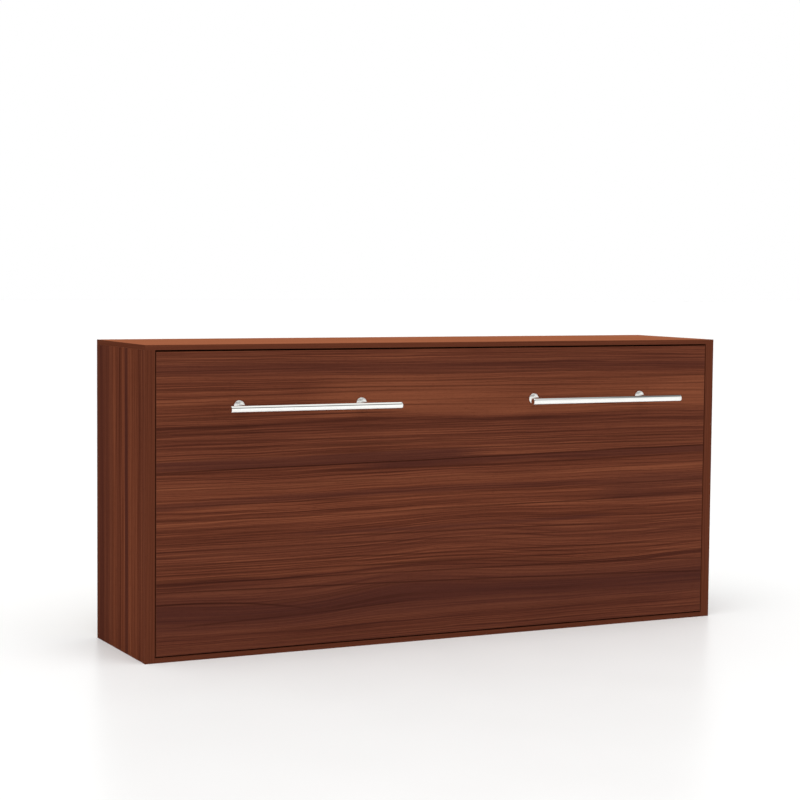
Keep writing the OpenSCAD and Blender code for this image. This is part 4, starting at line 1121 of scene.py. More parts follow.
def turned(
    name: str, outline: Sequence[tuple[float, float]], foot: Vector, aim: Vector, parts: int = 96,
    ring: bool = False,
) -> bpy.types.Object:
    """A lathe-turned piece.

    Args:
        name: The piece's name.
        outline: Its section as pairs of distance along the axis and radius.
        foot: Where the axis starts.
        aim: The axis's direction.
        parts: How many faces go round.
        ring: Whether the outline closes on itself, as a tube's does.

    Returns:
        The piece.
    """
    axis = aim.normalized()
    first = axis.orthogonal().normalized()
    second = axis.cross(first)
    points: list[Vector] = []
    rows: list[list[int]] = []
    for distance, radius in outline:
        centre = foot + axis * distance
        if radius < WELD / 100:
            rows.append([len(points)] * parts)
            points.append(centre)
            continue
        rows.append(list(range(len(points), len(points) + parts)))
        for k in range(parts):
            angle = math.tau * k / parts
            points.append(centre + (first * math.cos(angle) + second * math.sin(angle)) * radius)
    pairs = list(zip(rows, rows[1:])) + ([(rows[-1], rows[0])] if ring else [])
    faces = []
    for low, high in pairs:
        for k in range(parts):
            corners = [low[k], low[(k + 1) % parts], high[(k + 1) % parts], high[k]]
            loop = [c for i, c in enumerate(corners) if c not in corners[:i]]
            if len(loop) > 2:
                faces.append(loop)
    if not ring:
        for row in (rows[0], rows[-1]):
            if row[0] != row[1]:
                faces.append(row)
    return smoothed(link_object(name, outward(mesh_of(name, points, faces))))


def joined(name: str, pieces: Sequence[bpy.types.Object]) -> bpy.types.Object:
    """Joins several pieces into the first, which takes the name."""
    with bpy.context.temp_override(active_object=pieces[0], selected_editable_objects=list(pieces)):
        bpy.ops.object.join()
    pieces[0].name = name
    pieces[0].data.name = name
    return pieces[0]


def painted(piece: bpy.types.Object, finish: bpy.types.Material) -> bpy.types.Object:
    """Gives a piece one material."""
    piece.data.materials.clear()
    piece.data.materials.append(finish)
    return piece


def carved(
    piece: bpy.types.Object, cutter: bpy.types.Object, keep_common: bool = False
) -> bpy.types.Object:
    """Cuts a closed piece by another, which is used up, or keeps what they share."""
    cut = piece.modifiers.new("cut", "BOOLEAN")
    cut.operation = "INTERSECT" if keep_common else "DIFFERENCE"
    cut.solver = "EXACT"
    cut.object = cutter
    settled(piece)
    bpy.data.objects.remove(cutter)
    return piece


def prism(
    name: str, outline: Sequence[tuple[float, float]], low: float, high: float, taper: float = 1.0
) -> bpy.types.Object:
    """An upright prism from its outline, whose foot is scaled by the taper."""
    count = len(outline)
    points = [(x * taper, y * taper, low) for x, y in outline] + [(x, y, high) for x, y in outline]
    faces: list[Sequence[int]] = [range(count), range(count, 2 * count)]
    faces += [(k, (k + 1) % count, count + (k + 1) % count, count + k) for k in range(count)]
    return link_object(name, outward(mesh_of(name, points, faces)))


def hexagon(across_flats: float) -> list[tuple[float, float]]:
    """The corners of a hexagon."""
    radius = across_flats / math.sqrt(3)
    turns = [math.radians(60 * k) for k in range(6)]
    return [(radius * math.cos(turn), radius * math.sin(turn)) for turn in turns]


def cross(reach: float, half: float) -> list[tuple[float, float]]:
    """The outline of a driver's cross."""
    arm = [(reach, half), (half, half), (half, reach)]
    turned_arms = []
    for k in range(4):
        c, s = round(math.cos(k * math.pi / 2)), round(math.sin(k * math.pi / 2))
        turned_arms += [(x * c - y * s, x * s + y * c) for x, y in arm]
    return turned_arms


class Copies:
    """Sets copies of one small part on points, each turned to its own aim, with a random spin."""

    def __init__(self) -> None:
        """Builds the group."""
        recipe = Recipe("set_copies")
        part = recipe.ask("Part", "NodeSocketObject")
        seed = recipe.ask("Seed", "NodeSocketInt")
        spin = recipe.ask("Spin", "NodeSocketFloat")
        material = recipe.ask("Material", "NodeSocketMaterial")
        aim = recipe.node("GeometryNodeInputNamedAttribute", {"Name": "aim"}, data_type="FLOAT_VECTOR")
        held = recipe.node("FunctionNodeAlignRotationToVector", {"Vector": aim.outputs[0]}, axis="Z")
        chance = recipe.node("FunctionNodeRandomValue", {"Min": 0.0, "Max": spin, "Seed": seed})
        twist = recipe.node("FunctionNodeAxisAngleToRotation", {"Axis": (0.0, 0.0, 1.0)})
        recipe.put(twist.inputs["Angle"], next(o for o in chance.outputs if o.enabled))
        turn = recipe.node(
            "FunctionNodeRotateRotation", {0: held.outputs[0], 1: twist.outputs[0]}, rotation_space="LOCAL"
        )
        look = recipe.node("GeometryNodeObjectInfo", {"Object": part, "As Instance": True})
        placed = recipe.node(
            "GeometryNodeInstanceOnPoints",
            {"Points": recipe.source, "Instance": look.outputs["Geometry"], "Rotation": turn.outputs[0]},
        )
        recipe.finish(placed.outputs[0], material)
        self.recipe = recipe

    def make(
        self, name: str, part: bpy.types.Object, places: Sequence[Vector], aims: Sequence[Vector],
        material: bpy.types.Material, seed: int = 1, spin: float = math.tau,
    ) -> bpy.types.Object:
        """Sets the part on each place and uses it up.

        Args:
            name: The new piece's name.
            part: The part, made at the origin with its head along +Z.
            places: Where each copy stands.
            aims: Where each copy's +Z points.
            material: The copies' material.
            seed: The seed of the random spin.
            spin: The largest spin about the aim.

        Returns:
            All the copies as one piece.
        """
        mesh = mesh_of(name, places)
        attribute = mesh.attributes.new("aim", "FLOAT_VECTOR", "POINT")
        attribute.data.foreach_set("vector", np.array([tuple(a) for a in aims], np.float32).ravel())
        piece = self.recipe.make(name, mesh, Part=part, Seed=seed, Spin=spin, Material=material)
        bpy.data.objects.remove(part)
        return smoothed(piece)


class Swept:
    """Sweeps a round section along the edges of a mesh, plain as piping or rippled as a weld."""

    def __init__(self) -> None:
        """Builds the group."""
        recipe = Recipe("sweep_along")
        radius = recipe.ask("Radius", "NodeSocketFloat")
        step = recipe.ask("Step", "NodeSocketFloat")
        ripple = recipe.ask("Ripple", "NodeSocketFloat")
        wave = recipe.ask("Wave", "NodeSocketFloat")
        sides = recipe.ask("Sides", "NodeSocketInt")
        material = recipe.ask("Material", "NodeSocketMaterial")
        line = recipe.node("GeometryNodeMeshToCurve", {"Mesh": recipe.source})
        even = recipe.node(
            "GeometryNodeResampleCurve", {"Curve": line.outputs[0], "Length": step}, mode="LENGTH"
        )
        where = recipe.node("GeometryNodeSplineParameter", {})
        phase = recipe.maths("MULTIPLY", recipe.maths("DIVIDE", where.outputs["Length"], wave), math.tau)
        swell = recipe.maths("MULTIPLY_ADD", recipe.maths("SINE", phase), ripple, 1.0)
        section = recipe.node("GeometryNodeCurvePrimitiveCircle", {"Resolution": sides, "Radius": radius})
        swept = recipe.node(
            "GeometryNodeCurveToMesh",
            {
                "Curve": even.outputs[0], "Profile Curve": section.outputs[0], "Scale": swell,
                "Fill Caps": True,
            },
        )
        recipe.finish(swept.outputs[0], material)
        self.recipe = recipe

    def make(
        self, name: str, paths: Sequence[Sequence[Vector]], closed: bool, radius: float,
        material: bpy.types.Material, step: float, ripple: float = 0.0, wave: float = 1.0, sides: int = 8,
    ) -> bpy.types.Object:
        """Sweeps the section along each path.

        Args:
            name: The new piece's name.
            paths: The paths' points.
            closed: Whether each path closes on itself.
            radius: The section's radius.
            material: The sweep's material.
            step: The distance between two rings.
            ripple: How far the radius swells and shrinks, as a share.
            wave: The length of one ripple.
            sides: How many sides the section has.

        Returns:
            All the sweeps as one piece.
        """
        points, edges = chained(paths, closed)
        piece = self.recipe.make(
            name, mesh_of(name, points, edges=edges), Radius=radius, Step=step, Ripple=ripple, Wave=wave,
            Sides=sides, Material=material,
        )
        outward(piece.data)
        return smoothed(piece, 50.0)


@dataclass(frozen=True)
class SlatSizes:
    """The sizes of the row of slats, read from the frame.

    Attributes:
        first: The first slat's place along X.
        pitch: The step to the next.
        count: How many there are.
        width: A slat's width along X.
        thick: Its thickness.
        length: Its length along Z.
        seat: Where its ends lie along Y.
        bow: How far its middle rises.
        middle: The height of its middle.
    """

    first: float
    pitch: float
    count: int
    width: float
    thick: float
    length: float
    seat: float
    bow: float
    middle: float

    @classmethod
    def read(cls) -> "SlatSizes":
        """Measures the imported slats."""
        boxes = solids_of("slats")
        low, high = boxes[0]
        pitch = (middle_of(boxes[-1]).x - middle_of(boxes[0]).x) / (len(boxes) - 1)
        thick = 8 * MM
        return cls(
            first=middle_of(boxes[0]).x, pitch=pitch, count=len(boxes), width=high.x - low.x, thick=thick,
            length=high.z - low.z, seat=low.y, bow=high.y - low.y - thick, middle=middle_of((low, high)).z,
        )


class Slats:
    """A row of bowed slats: one slat swept along its arc, set out at an even pitch."""

    def __init__(self) -> None:
        """Builds the group."""
        recipe = Recipe("slat_row")
        names = ("Width", "Thick", "Length", "Bow", "Pitch", "Corner")
        width, thick, length, bow, pitch, corner = (recipe.ask(n, "NodeSocketFloat") for n in names)
        count = recipe.ask("Count", "NodeSocketInt")
        start = recipe.ask("Start", "NodeSocketVector")
        material = recipe.ask("Material", "NodeSocketMaterial")
        half = recipe.maths("MULTIPLY", length, 0.5)
        line = recipe.node("GeometryNodeMeshLine", {"Count": 49}, mode="END_POINTS")
        down = recipe.node("ShaderNodeCombineXYZ", {2: recipe.maths("MULTIPLY", half, -1.0)})
        up = recipe.node("ShaderNodeCombineXYZ", {2: half})
        recipe.put(line.inputs["Start Location"], down.outputs[0])
        recipe.put(line.inputs["Offset"], up.outputs[0])
        here = recipe.node("GeometryNodeInputPosition", {})
        parts = recipe.node("ShaderNodeSeparateXYZ", {0: here.outputs[0]})
        share = recipe.maths("DIVIDE", parts.outputs[2], half)
        fall = recipe.maths("MULTIPLY", share, share)
        rise = recipe.maths("MULTIPLY", recipe.maths("SUBTRACT", 1.0, fall), bow)
        lift = recipe.node("ShaderNodeCombineXYZ", {1: rise})
        bowed = recipe.node(
            "GeometryNodeSetPosition", {"Geometry": line.outputs[0], "Offset": lift.outputs[0]}
        )
        path = recipe.node("GeometryNodeMeshToCurve", {"Mesh": bowed.outputs[0]})
        upright = recipe.node("GeometryNodeSetCurveNormal", {0: path.outputs[0]}, mode="MINIMUM_TWIST")
        section = recipe.node("GeometryNodeCurvePrimitiveQuadrilateral", {"Width": thick, "Height": width})
        soft = recipe.node(
            "GeometryNodeFilletCurve", {0: section.outputs[0], "Count": 3, "Radius": corner}, mode="POLY"
        )
        slat = recipe.node(
            "GeometryNodeCurveToMesh",
            {"Curve": upright.outputs[0], "Profile Curve": soft.outputs[0], "Fill Caps": True},
        )
        along = recipe.node("ShaderNodeCombineXYZ", {0: pitch})
        row = recipe.node(
            "GeometryNodeMeshLine",
            {"Count": count, "Start Location": start, "Offset": along.outputs[0]}, mode="OFFSET",
        )
        placed = recipe.node(
            "GeometryNodeInstanceOnPoints", {"Points": row.outputs[0], "Instance": slat.outputs[0]}
        )
        recipe.finish(placed.outputs[0], material)
        self.recipe = recipe

    def make(self, name: str, sizes: SlatSizes, material: bpy.types.Material) -> bpy.types.Object:
        """Makes the row in place."""
        piece = self.recipe.make(
            name, mesh_of(name, ()), Width=sizes.width, Thick=sizes.thick, Length=sizes.length,
            Bow=sizes.bow, Pitch=sizes.pitch, Corner=1.5 * MM, Count=sizes.count,
            Start=(sizes.first, sizes.seat + sizes.thick / 2, sizes.middle), Material=material,
        )
        outward(piece.data)
        return smoothed(piece)


@dataclass(frozen=True)
class QuiltSizes:
    """The lattice of the mattress, read from the frame.

    Attributes:
        low: The lowest corner of the mattress.
        high: Its highest corner.
        cells: How many cells the lattice has along X, Y and Z.
        run: How many cells lie between two quilting lines.
    """

    low: Vector
    high: Vector
    cells: tuple[int, int, int] = (120, 10, 60)
    run: int = 10

    @property
    def cell(self) -> tuple[float, float]:
        """The lattice's step along X and Z."""
        size = self.high - self.low
        return size.x / self.cells[0], size.z / self.cells[2]


@dataclass
class Mattress:
    """A foam mattress in a quilted cover: diamonds puffed by simulation between stitched lines.

    Attributes:
        finishes: The bed's materials.
        swept: The sweep that makes its piping.
        quilt: Its lattice.
        corner: The radius of its upright corners.
        seam_drop: How far the seam lies below the sleeping face's highest point.
        seam_inset: How far the sides are drawn in.
        crown: How far the middle of a face stands over its edges.
        shoulder: How far from its edge a face rises to its height.
        under: How much of the seam's drop and the rise counts on the lower face.
        puff_cap: How far a diamond may stand out.
        piping_radius: The piping's radius.
        frames: How many frames the cover is filled for.
        strap_half: Half the width that a strap presses flat.
        strap_ease: How far beside it the cover comes up again.
        clear: The gap that it keeps to its space and to the straps.
    """

    finishes: Finishes
    swept: Swept
    quilt: QuiltSizes
    corner: float = 60 * MM
    seam_drop: float = 17 * MM
    seam_inset: float = 5 * MM
    crown: float = 6 * MM
    shoulder: float = 22 * MM
    under: tuple[float, float] = (0.7, 0.62)
    puff_cap: float = 8 * MM
    piping_radius: float = 3.5 * MM
    frames: int = 20
    strap_half: float = 24 * MM
    strap_ease: float = 35 * MM
    clear: float = 0.6 * MM

    def _outline(self, x: np.ndarray, z: np.ndarray) -> tuple[np.ndarray, np.ndarray]:
        """Draws the corners of the block round and its rim in.

        Args:
            x: Places along X from the middle.
            z: Places along Z from the middle.

        Returns:
            The new places.
        """
        half = (self.quilt.high - self.quilt.low) / 2
        ax = np.abs(x) - (half.x - self.corner)
        az = np.abs(z) - (half.z - self.corner)
        both = (ax > 0) & (az > 0)
        far = np.maximum(ax, az)
        pull = np.where(both, far / np.maximum(np.hypot(ax, az), 1e-9), 1.0)
        rx = np.where(both, half.x - self.corner + ax * pull, np.abs(x))
        rz = np.where(both, half.z - self.corner + az * pull, np.abs(z))
        drawn_in = (1 - self.seam_inset / half.x, 1 - self.seam_inset / half.z)
        return np.sign(x) * rx * drawn_in[0], np.sign(z) * rz * drawn_in[1]

    def _lattice(self) -> tuple[np.ndarray, list[tuple[int, ...]]]:
        """The whole-number places of the points on the skin of a block of cells, and the faces."""
        nx, ny, nz = self.quilt.cells
        index: dict[tuple[int, int, int], int] = {}
        cells: list[tuple[int, int, int]] = []

        def corner(i: int, j: int, k: int) -> int:
            """The number of a lattice point, made at its first use."""
            if (i, j, k) not in index:
                index[(i, j, k)] = len(cells)
                cells.append((i, j, k))
            return index[(i, j, k)]

        def around(first: int, second: int, flipped: bool = False) -> list[tuple[int, int]]:
            """The four corners of a lattice square, one way round or the other."""
            ring = [(first, second), (first + 1, second), (first + 1, second + 1), (first, second + 1)]
            return [ring[0], *ring[:0:-1]] if flipped else ring

        faces = []
        for i in range(nx):
            for k in range(nz):
                faces.append(tuple(corner(a, 0, b) for a, b in around(i, k)))
                faces.append(tuple(corner(a, ny, b) for a, b in around(i, k, flipped=True)))
        for j in range(ny):
            for i in range(nx):
                faces.append(tuple(corner(a, b, 0) for a, b in around(i, j, flipped=True)))
                faces.append(tuple(corner(a, b, nz) for a, b in around(i, j)))
            for k in range(nz):
                faces.append(tuple(corner(0, a, b) for a, b in around(j, k, flipped=True)))
                faces.append(tuple(corner(nx, a, b) for a, b in around(j, k)))
        return np.array(cells, int), faces

    def _face_height(self, x: np.ndarray, z: np.ndarray) -> np.ndarray:
        """How far the sleeping face stands over its seam at places from the middle."""
        half = (self.quilt.high - self.quilt.low) / 2
        edge = np.maximum(np.minimum(half.x - np.abs(x), half.z - np.abs(z)), 0)
        rise = self.seam_drop - self.crown - self.puff_cap * 0.45
        rise = rise * (1 - np.exp(-edge / self.shoulder))
        crown = self.crown * (1 - (np.abs(x) / half.x) ** 4) * (1 - (np.abs(z) / half.z) ** 4)
        return rise + crown

    def _shape(self) -> tuple[bpy.types.Mesh, np.ndarray, np.ndarray]:
        """The unfilled cover, its pinned points and its lattice places."""
        nx, ny, nz = self.quilt.cells
        cells, faces = self._lattice()
        low, high = self.quilt.low, self.quilt.high
        size = high - low
        middle = (low + high) / 2
        depth = cells[:, 1] / ny
        x, z = self._outline((cells[:, 0] / nx - 0.5) * size.x, (cells[:, 2] / nz - 0.5) * size.z)
        under, over = low.y + self.seam_drop * self.under[0], high.y - self.seam_drop
        y = under + (over - under) * depth
        lift = self._face_height(x, z)
        y = np.where(cells[:, 1] == ny, over + lift, y)
        y = np.where(cells[:, 1] == 0, under - lift * self.under[1], y)
        points = np.stack([x + middle.x, y, z + middle.z], 1)
        flat = (cells[:, 1] == 0) | (cells[:, 1] == ny)
        rim = (cells[:, 0] % nx == 0) | (cells[:, 2] % nz == 0)
        rising, falling = cells[:, 0] + cells[:, 2], cells[:, 0] - cells[:, 2]
        lines = (rising % self.quilt.run == 0) | (falling % self.quilt.run == 0)
        pinned = (flat & (lines | rim)) | (rim & (cells[:, 1] == ny // 2))
        return mesh_of("quilted_mattress", points, faces), pinned, cells

    def _simulate(self, piece: bpy.types.Object, pinned: np.ndarray) -> None:
        """Fills the cover with pressure between its stitched lines."""
        group = piece.vertex_groups.new(name="stitched")
        group.add([int(i) for i in np.flatnonzero(pinned)], 1.0, "REPLACE")
        cloth = piece.modifiers.new("fill", "CLOTH")
        for name, value in dict(
            quality=4, mass=0.25, tension_stiffness=18, compression_stiffness=12, shear_stiffness=6,
            bending_stiffness=0.6, vertex_group_mass="stitched", use_pressure=True,
            uniform_pressure_force=5.0,
        ).items():
            setattr(cloth.settings, name, value)
        cloth.settings.effector_weights.gravity = 0.0
        cloth.collision_settings.use_collision = False
        scene = bpy.context.scene
        for step in range(1, self.frames + 1):
            scene.frame_set(step)
        settled(piece)
        scene.frame_set(1)

    def _fill(self, piece: bpy.types.Object, pinned: np.ndarray, cells: np.ndarray) -> None:
        """Puffs the cover between its stitched lines and holds each point within the cap."""
        start = points_of(piece)
        self._simulate(piece, pinned)
        moved = points_of(piece)
        step = moved - start
        far = np.linalg.norm(step, axis=1)
        step *= np.minimum(1, self.puff_cap / np.maximum(far, 1e-9))[:, None]
        set_points(piece, start + step)

    def _held(self, points: np.ndarray) -> np.ndarray:
        """Keeps the mattress inside its space and below the straps."""
        low, high = self.quilt.low, self.quilt.high
        middle = (low + high) / 2
        for strap in solids_of("mattress_straps"):
            near = np.abs(points[:, 0] - middle_of(strap).x)
            share = np.clip((near - self.strap_half) / self.strap_ease, 0, 1)
            cap = strap_line(self.quilt, points[:, 2] - middle.z) - self.clear + share * share * 30 * MM
            pressed = (points[:, 1] > (low.y + high.y) / 2) & (share < 1)
            points[:, 1] = np.where(pressed, np.minimum(points[:, 1], cap), points[:, 1])
        points[:, 0] = np.clip(points[:, 0], low.x + self.clear, high.x - self.clear)
        points[:, 1] = np.clip(points[:, 1], low.y, high.y - self.clear)
        points[:, 2] = np.clip(points[:, 2], low.z + self.clear, high.z - self.clear)
        return points

    def _seams(self, cells: np.ndarray, points: np.ndarray) -> list[list[Vector]]:
        """The two closed lines where the faces meet the border."""
        nx, ny, nz = self.quilt.cells
        found = {tuple(c): i for i, c in enumerate(cells)}
        loops = []
        for j in (0, ny):
            ring = [(i, j, 0) for i in range(nx)] + [(nx, j, k) for k in range(nz)]
            ring += [(i, j, nz) for i in range(nx, 0, -1)] + [(0, j, k) for k in range(nz, 0, -1)]
            loops.append([Vector(points[found[c]]) for c in ring])
        return loops

    def build(self) -> None:
        """Makes the mattress and its piping."""
        mesh, pinned, cells = self._shape()
        piece = link_object("quilted_mattress", mesh)
        seams = self._seams(cells, points_of(piece))
        self._fill(piece, pinned, cells)
        set_points(piece, self._held(points_of(piece)))
        finer = piece.modifiers.new("finer", "SUBSURF")
        finer.levels = 1
        finer.render_levels = 1
        settled(piece)
        set_points(piece, self._held(points_of(piece)))
        painted(piece, self.finishes.knit)
        piece.data.shade_smooth()
        seated(piece, BED, "mattress_cloth", ["mattress"])
        piping = self.swept.make(
            "mattress_piping", seams, True, self.piping_radius, self.finishes.piping, step=8 * MM, sides=10
        )
        set_points(piping, self._held(points_of(piping)))
        seated(piping, BED, "mattress_cloth")


def strap_line(quilt: QuiltSizes, z: np.ndarray) -> np.ndarray:
    """Where the strap's underside lies over the sleeping face.

    Args:
        quilt: The mattress that the strap goes round.
        z: Places from the mattress's middle.

    Returns:
        The strap's places along Y.
    """
    half = (quilt.high.z - quilt.low.z) / 2
    reach = np.clip(np.abs(z) / half, 0, 1)
    return quilt.high.y + 0.3 * MM - 9 * MM * reach ** 6


def points_of(piece: bpy.types.Object) -> np.ndarray:
    """A piece's points as rows of three numbers."""
    flat = np.empty(len(piece.data.vertices) * 3, np.float32)
    piece.data.vertices.foreach_get("co", flat)
    return flat.reshape(-1, 3).astype(float)


def set_points(piece: bpy.types.Object, points: np.ndarray) -> None:
    """Moves a piece's points."""
    piece.data.vertices.foreach_set("co", points.astype(np.float32).ravel())
    piece.data.update()


@dataclass
class Straps:
    """Two webbing straps round the mattress, with box-stitched ends and sliding buckles.

    Attributes:
        finishes: The bed's materials.
        quilt: The mattress that they go round.
        width: Their width.
        thick: Their thickness.
        gap: Their distance from the mattress's long sides.
        bend: The radius that they take over its edges.
        curl: The radius that they take round the tubes.
        edge: How far their edges are rounded.
        stitch: The step from one stitch to the next.
    """

    finishes: Finishes
    quilt: QuiltSizes
    width: float = 40 * MM
    thick: float = 2 * MM
    gap: float = 0.4 * MM
    bend: float = 15 * MM
    curl: float = 5 * MM
    edge: float = 0.7 * MM
    stitch: float = 4 * MM

    def _route(self, rail_y: float, low_end: float, high_end: float) -> list[tuple[float, float]]:
        """The middle of the strap as pairs of Y and Z, from the lower rail to the upper one."""
        quilt, r, curl = self.quilt, self.bend, self.curl
        lift, slack = self.thick / 2, 6 * MM
        out_low, out_high = quilt.low.z - self.gap - lift, quilt.high.z + self.gap + lift
        half = (quilt.high.z - quilt.low.z) / 2
        centre = (quilt.low.z + quilt.high.z) / 2
        inner_y = rail_y + lift
        low = [(inner_y, low_end), (inner_y, (low_end + out_low + slack) / 2)]
        low += arc((inner_y + curl, out_low + curl), curl, 180, 270, 5)
        reach = np.linspace(-1, 1, 41)[1:-1]
        zs = reach * (half - r)
        ys = strap_line(quilt, zs) + lift
        face_edge = float(strap_line(quilt, np.array([half - r]))[0]) + lift
        low += arc((face_edge - r, out_low + r), r, 270, 360, 8)
        face = [(float(y), float(z) + centre) for y, z in zip(ys, zs)]
        high = arc((face_edge - r, out_high - r), r, 0, 90, 8)
        high += arc((inner_y + curl, out_high - curl), curl, 90, 180, 5)
        high += [(inner_y, (high_end + out_high - slack) / 2), (inner_y, high_end)]
        return low + face + high

    def _ribbon(self, name: str, x: float, route: Sequence[tuple[float, float]]) -> bpy.types.Object:
        """A band with rounded edges along a route, mapped in metres."""
        half, lift, soft = self.width / 2, self.thick / 2, self.edge
        across = np.linspace(-half + soft, half - soft, 9)
        section = [(-half, -lift + soft)] + [(float(a), -lift) for a in across] + [(half, -lift + soft)]
        section += [(half, lift - soft)] + [(float(a), lift) for a in across[::-1]]
        section += [(-half, lift - soft)]
        line = np.array(route)
        tangent = np.gradient(line, axis=0)
        tangent /= np.linalg.norm(tangent, axis=1)[:, None]
        normal = np.stack([tangent[:, 1], -tangent[:, 0]], 1)
        run = np.concatenate([[0], np.cumsum(np.linalg.norm(np.diff(line, axis=0), axis=1))])
        count = len(section)
        points = [
            (x + a, line[i][0] + normal[i][0] * b, line[i][1] + normal[i][1] * b)
            for i in range(len(line)) for a, b in section
        ]
        faces: list[Sequence[int]] = []
        for i in range(len(line) - 1):
            for k in range(count):
                n = (k + 1) % count
                faces.append((i * count + k, i * count + n, (i + 1) * count + n, (i + 1) * count + k))
        faces.append(range(count))
        faces.append(range((len(line) - 1) * count, len(line) * count))
        mesh = mesh_of(name, points, faces)
        layer = mesh.uv_layers.new(name="weave")
        for loop in mesh.loops:
            row, place = divmod(loop.vertex_index, count)
            layer.data[loop.index].uv = (float(run[row]), section[place][0])
        return smoothed(painted(link_object(name, outward(mesh)), self.finishes.webbing), 40.0)

    def _stitches(self, ends: Sequence[tuple[float, float, float]]) -> bpy.types.Object:
        """A stitched box with a cross in it at each end of a strap."""
        paths = []
        wide, tall = self.width / 2 - 5 * MM, 9 * MM
        for x, y, z in ends:
            ways = ((-1, -1), (1, -1), (1, 1), (-1, 1))
            corners = [Vector((x + a * wide, y, z + b * tall)) for a, b in ways]
            paths.append([*corners, corners[0], corners[2]])
            paths.append([corners[1], corners[3]])
        recipe = Recipe("stitch_along")
        length = recipe.ask("Length", "NodeSocketFloat")
        radius = recipe.ask("Radius", "NodeSocketFloat")
        material = recipe.ask("Material", "NodeSocketMaterial")
        line = recipe.node("GeometryNodeMeshToCurve", {"Mesh": recipe.source})
        marks = recipe.node("GeometryNodeCurveToPoints", {"Curve": line.outputs[0]}, mode="LENGTH")
        recipe.put(marks.inputs["Length"], length)
        knot = recipe.node(
            "GeometryNodeMeshCylinder",
            {
                "Vertices": 8, "Side Segments": 1, "Radius": radius,
                "Depth": recipe.maths("MULTIPLY", length, 0.72),
            },
        )
        turn = recipe.node(
            "FunctionNodeAlignRotationToVector", {"Vector": marks.outputs["Tangent"]}, axis="Z"
        )
        placed = recipe.node(
            "GeometryNodeInstanceOnPoints",
            {
                "Points": marks.outputs["Points"], "Instance": knot.outputs["Mesh"],
                "Rotation": turn.outputs[0],
            },
        )
        recipe.finish(placed.outputs[0], material)
        points, edges = chained(paths)
        mesh = mesh_of("strap_stitches", points, edges=edges)
        piece = recipe.make(
            "strap_stitches", mesh, Length=self.stitch, Radius=0.45 * MM, Material=self.finishes.thread
        )
        return smoothed(piece, 60.0)

    def build(self) -> None:
        """Makes the straps, their stitching and their buckles."""
        rail_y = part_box("frame_lower_rail")[1].y
        low_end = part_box("frame_lower_rail")[1].z - 6 * MM
        high_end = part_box("frame_upper_rail")[0].z + 6 * MM
        sewn, sewn_y = 14 * MM, rail_y + self.thick
        ends = []
        bands = []
        for count, x in enumerate(straps_across()):
            bands.append(self._ribbon(f"strap_{count}", x, self._route(rail_y, low_end, high_end)))
            ends += [(x, sewn_y, low_end - sewn), (x, sewn_y, high_end + sewn)]
        seated(joined("mattress_webbing", bands), BED, "webbing", ["mattress_straps"])
        seated(self._stitches(ends), BED, "webbing")
        dressed("strap_buckles", "strap_sliders", self.finishes.plastic, 0.8 * MM, BED, "black_plastic")


def straps_across() -> list[float]:
    """The straps' places along X."""
    xs = [middle_of(box).x for box in solids_of("strap_buckles")]
    return sorted(set(round(x, 5) for x in xs))


def arc(
    centre: tuple[float, float], radius: float, start: float, end: float, steps: int
) -> list[tuple[float, float]]:
    """Points along an arc, from one angle in degrees to another."""
    angles = np.radians(np.linspace(start, end, steps))
    return [(centre[0] + radius * math.cos(a), centre[1] + radius * math.sin(a)) for a in angles]


@dataclass(frozen=True)
class Board:
    """A panel of the cabinet or the front.

    Attributes:
        node: Its CAD node.
        finish: The laminate on its faces.
        core: The core's material.
        raw: The sides that show the core.
    """

    node: str
    finish: bpy.types.Material
    core: bpy.types.Material
    raw: tuple[Side, ...] = ()


@dataclass
class Panels:
    """Makes laminated boards and the bands on their edges.

    Attributes:
        finishes: The bed's materials.
        board_edge: The radius of a board's edges.
        band_edge: The radius of a band's edges.
    """

    finishes: Finishes
    board_edge: float = 0.4 * MM
    band_edge: float = 0.45 * MM

    def board(self, board: Board, body: str) -> None:
        """Makes one laminated board whose cut sides and holes show its core."""
        mesh = mesh_from(welded(board.node), board.node + "_laminated")
        mesh.materials.append(board.finish)
        mesh.materials.append(board.core)
        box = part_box(board.node)
        for face in mesh.polygons:
            side = side_of(face, box)
            face.material_index = 0 if side is not None and side not in board.raw else 1
        piece = rounded_edges(link_object(mesh.name, mesh), self.board_edge, skin=0)
        seated(piece, body, "walnut_laminate", [board.node])

    def bands(self, node: str, name: str, body: str, boards: Sequence[str]) -> None:
        """Makes the edge bands of a few boards, each band with its figure along its own length.

        Args:
            node: The CAD node of the bands.
            name: The piece's name.
            body: The body that carries it.
            boards: The boards that the bands cover.
        """
        work = welded(node)
        homes = [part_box(board) for board in boards]
        for corner in (corner for home in homes for corner in home):
            for aim in (RIGHTWARD, UPWARD):
                every = [*work.verts, *work.edges, *work.faces]
                bmesh.ops.bisect_plane(work, geom=every, dist=WELD, plane_co=corner, plane_no=aim)
        mesh = mesh_from(work, name)
        for finish in self.finishes.bands:
            mesh.materials.append(finish)
        for face in mesh.polygons:
            face.material_index = band_axis(face.center, homes)
        piece = rounded_edges(link_object(name, mesh), self.band_edge)
        seated(piece, body, "walnut_edge_band", [node])


def band_axis(point: Vector, homes: Sequence[Box]) -> int:
    """The axis that a band runs along at a point beside the nearest of its boards."""
    beside = [
        [max(low[k] - point[k], point[k] - high[k], 0.0) for k in range(3)] for low, high in homes
    ]
    nearest = min(range(len(homes)), key=lambda n: sum(gap * gap for gap in beside[n]))
    through = max(range(3), key=lambda k: beside[nearest][k])
    size = homes[nearest][1] - homes[nearest][0]
    return max((k for k in range(3) if k != through), key=lambda k: size[k])


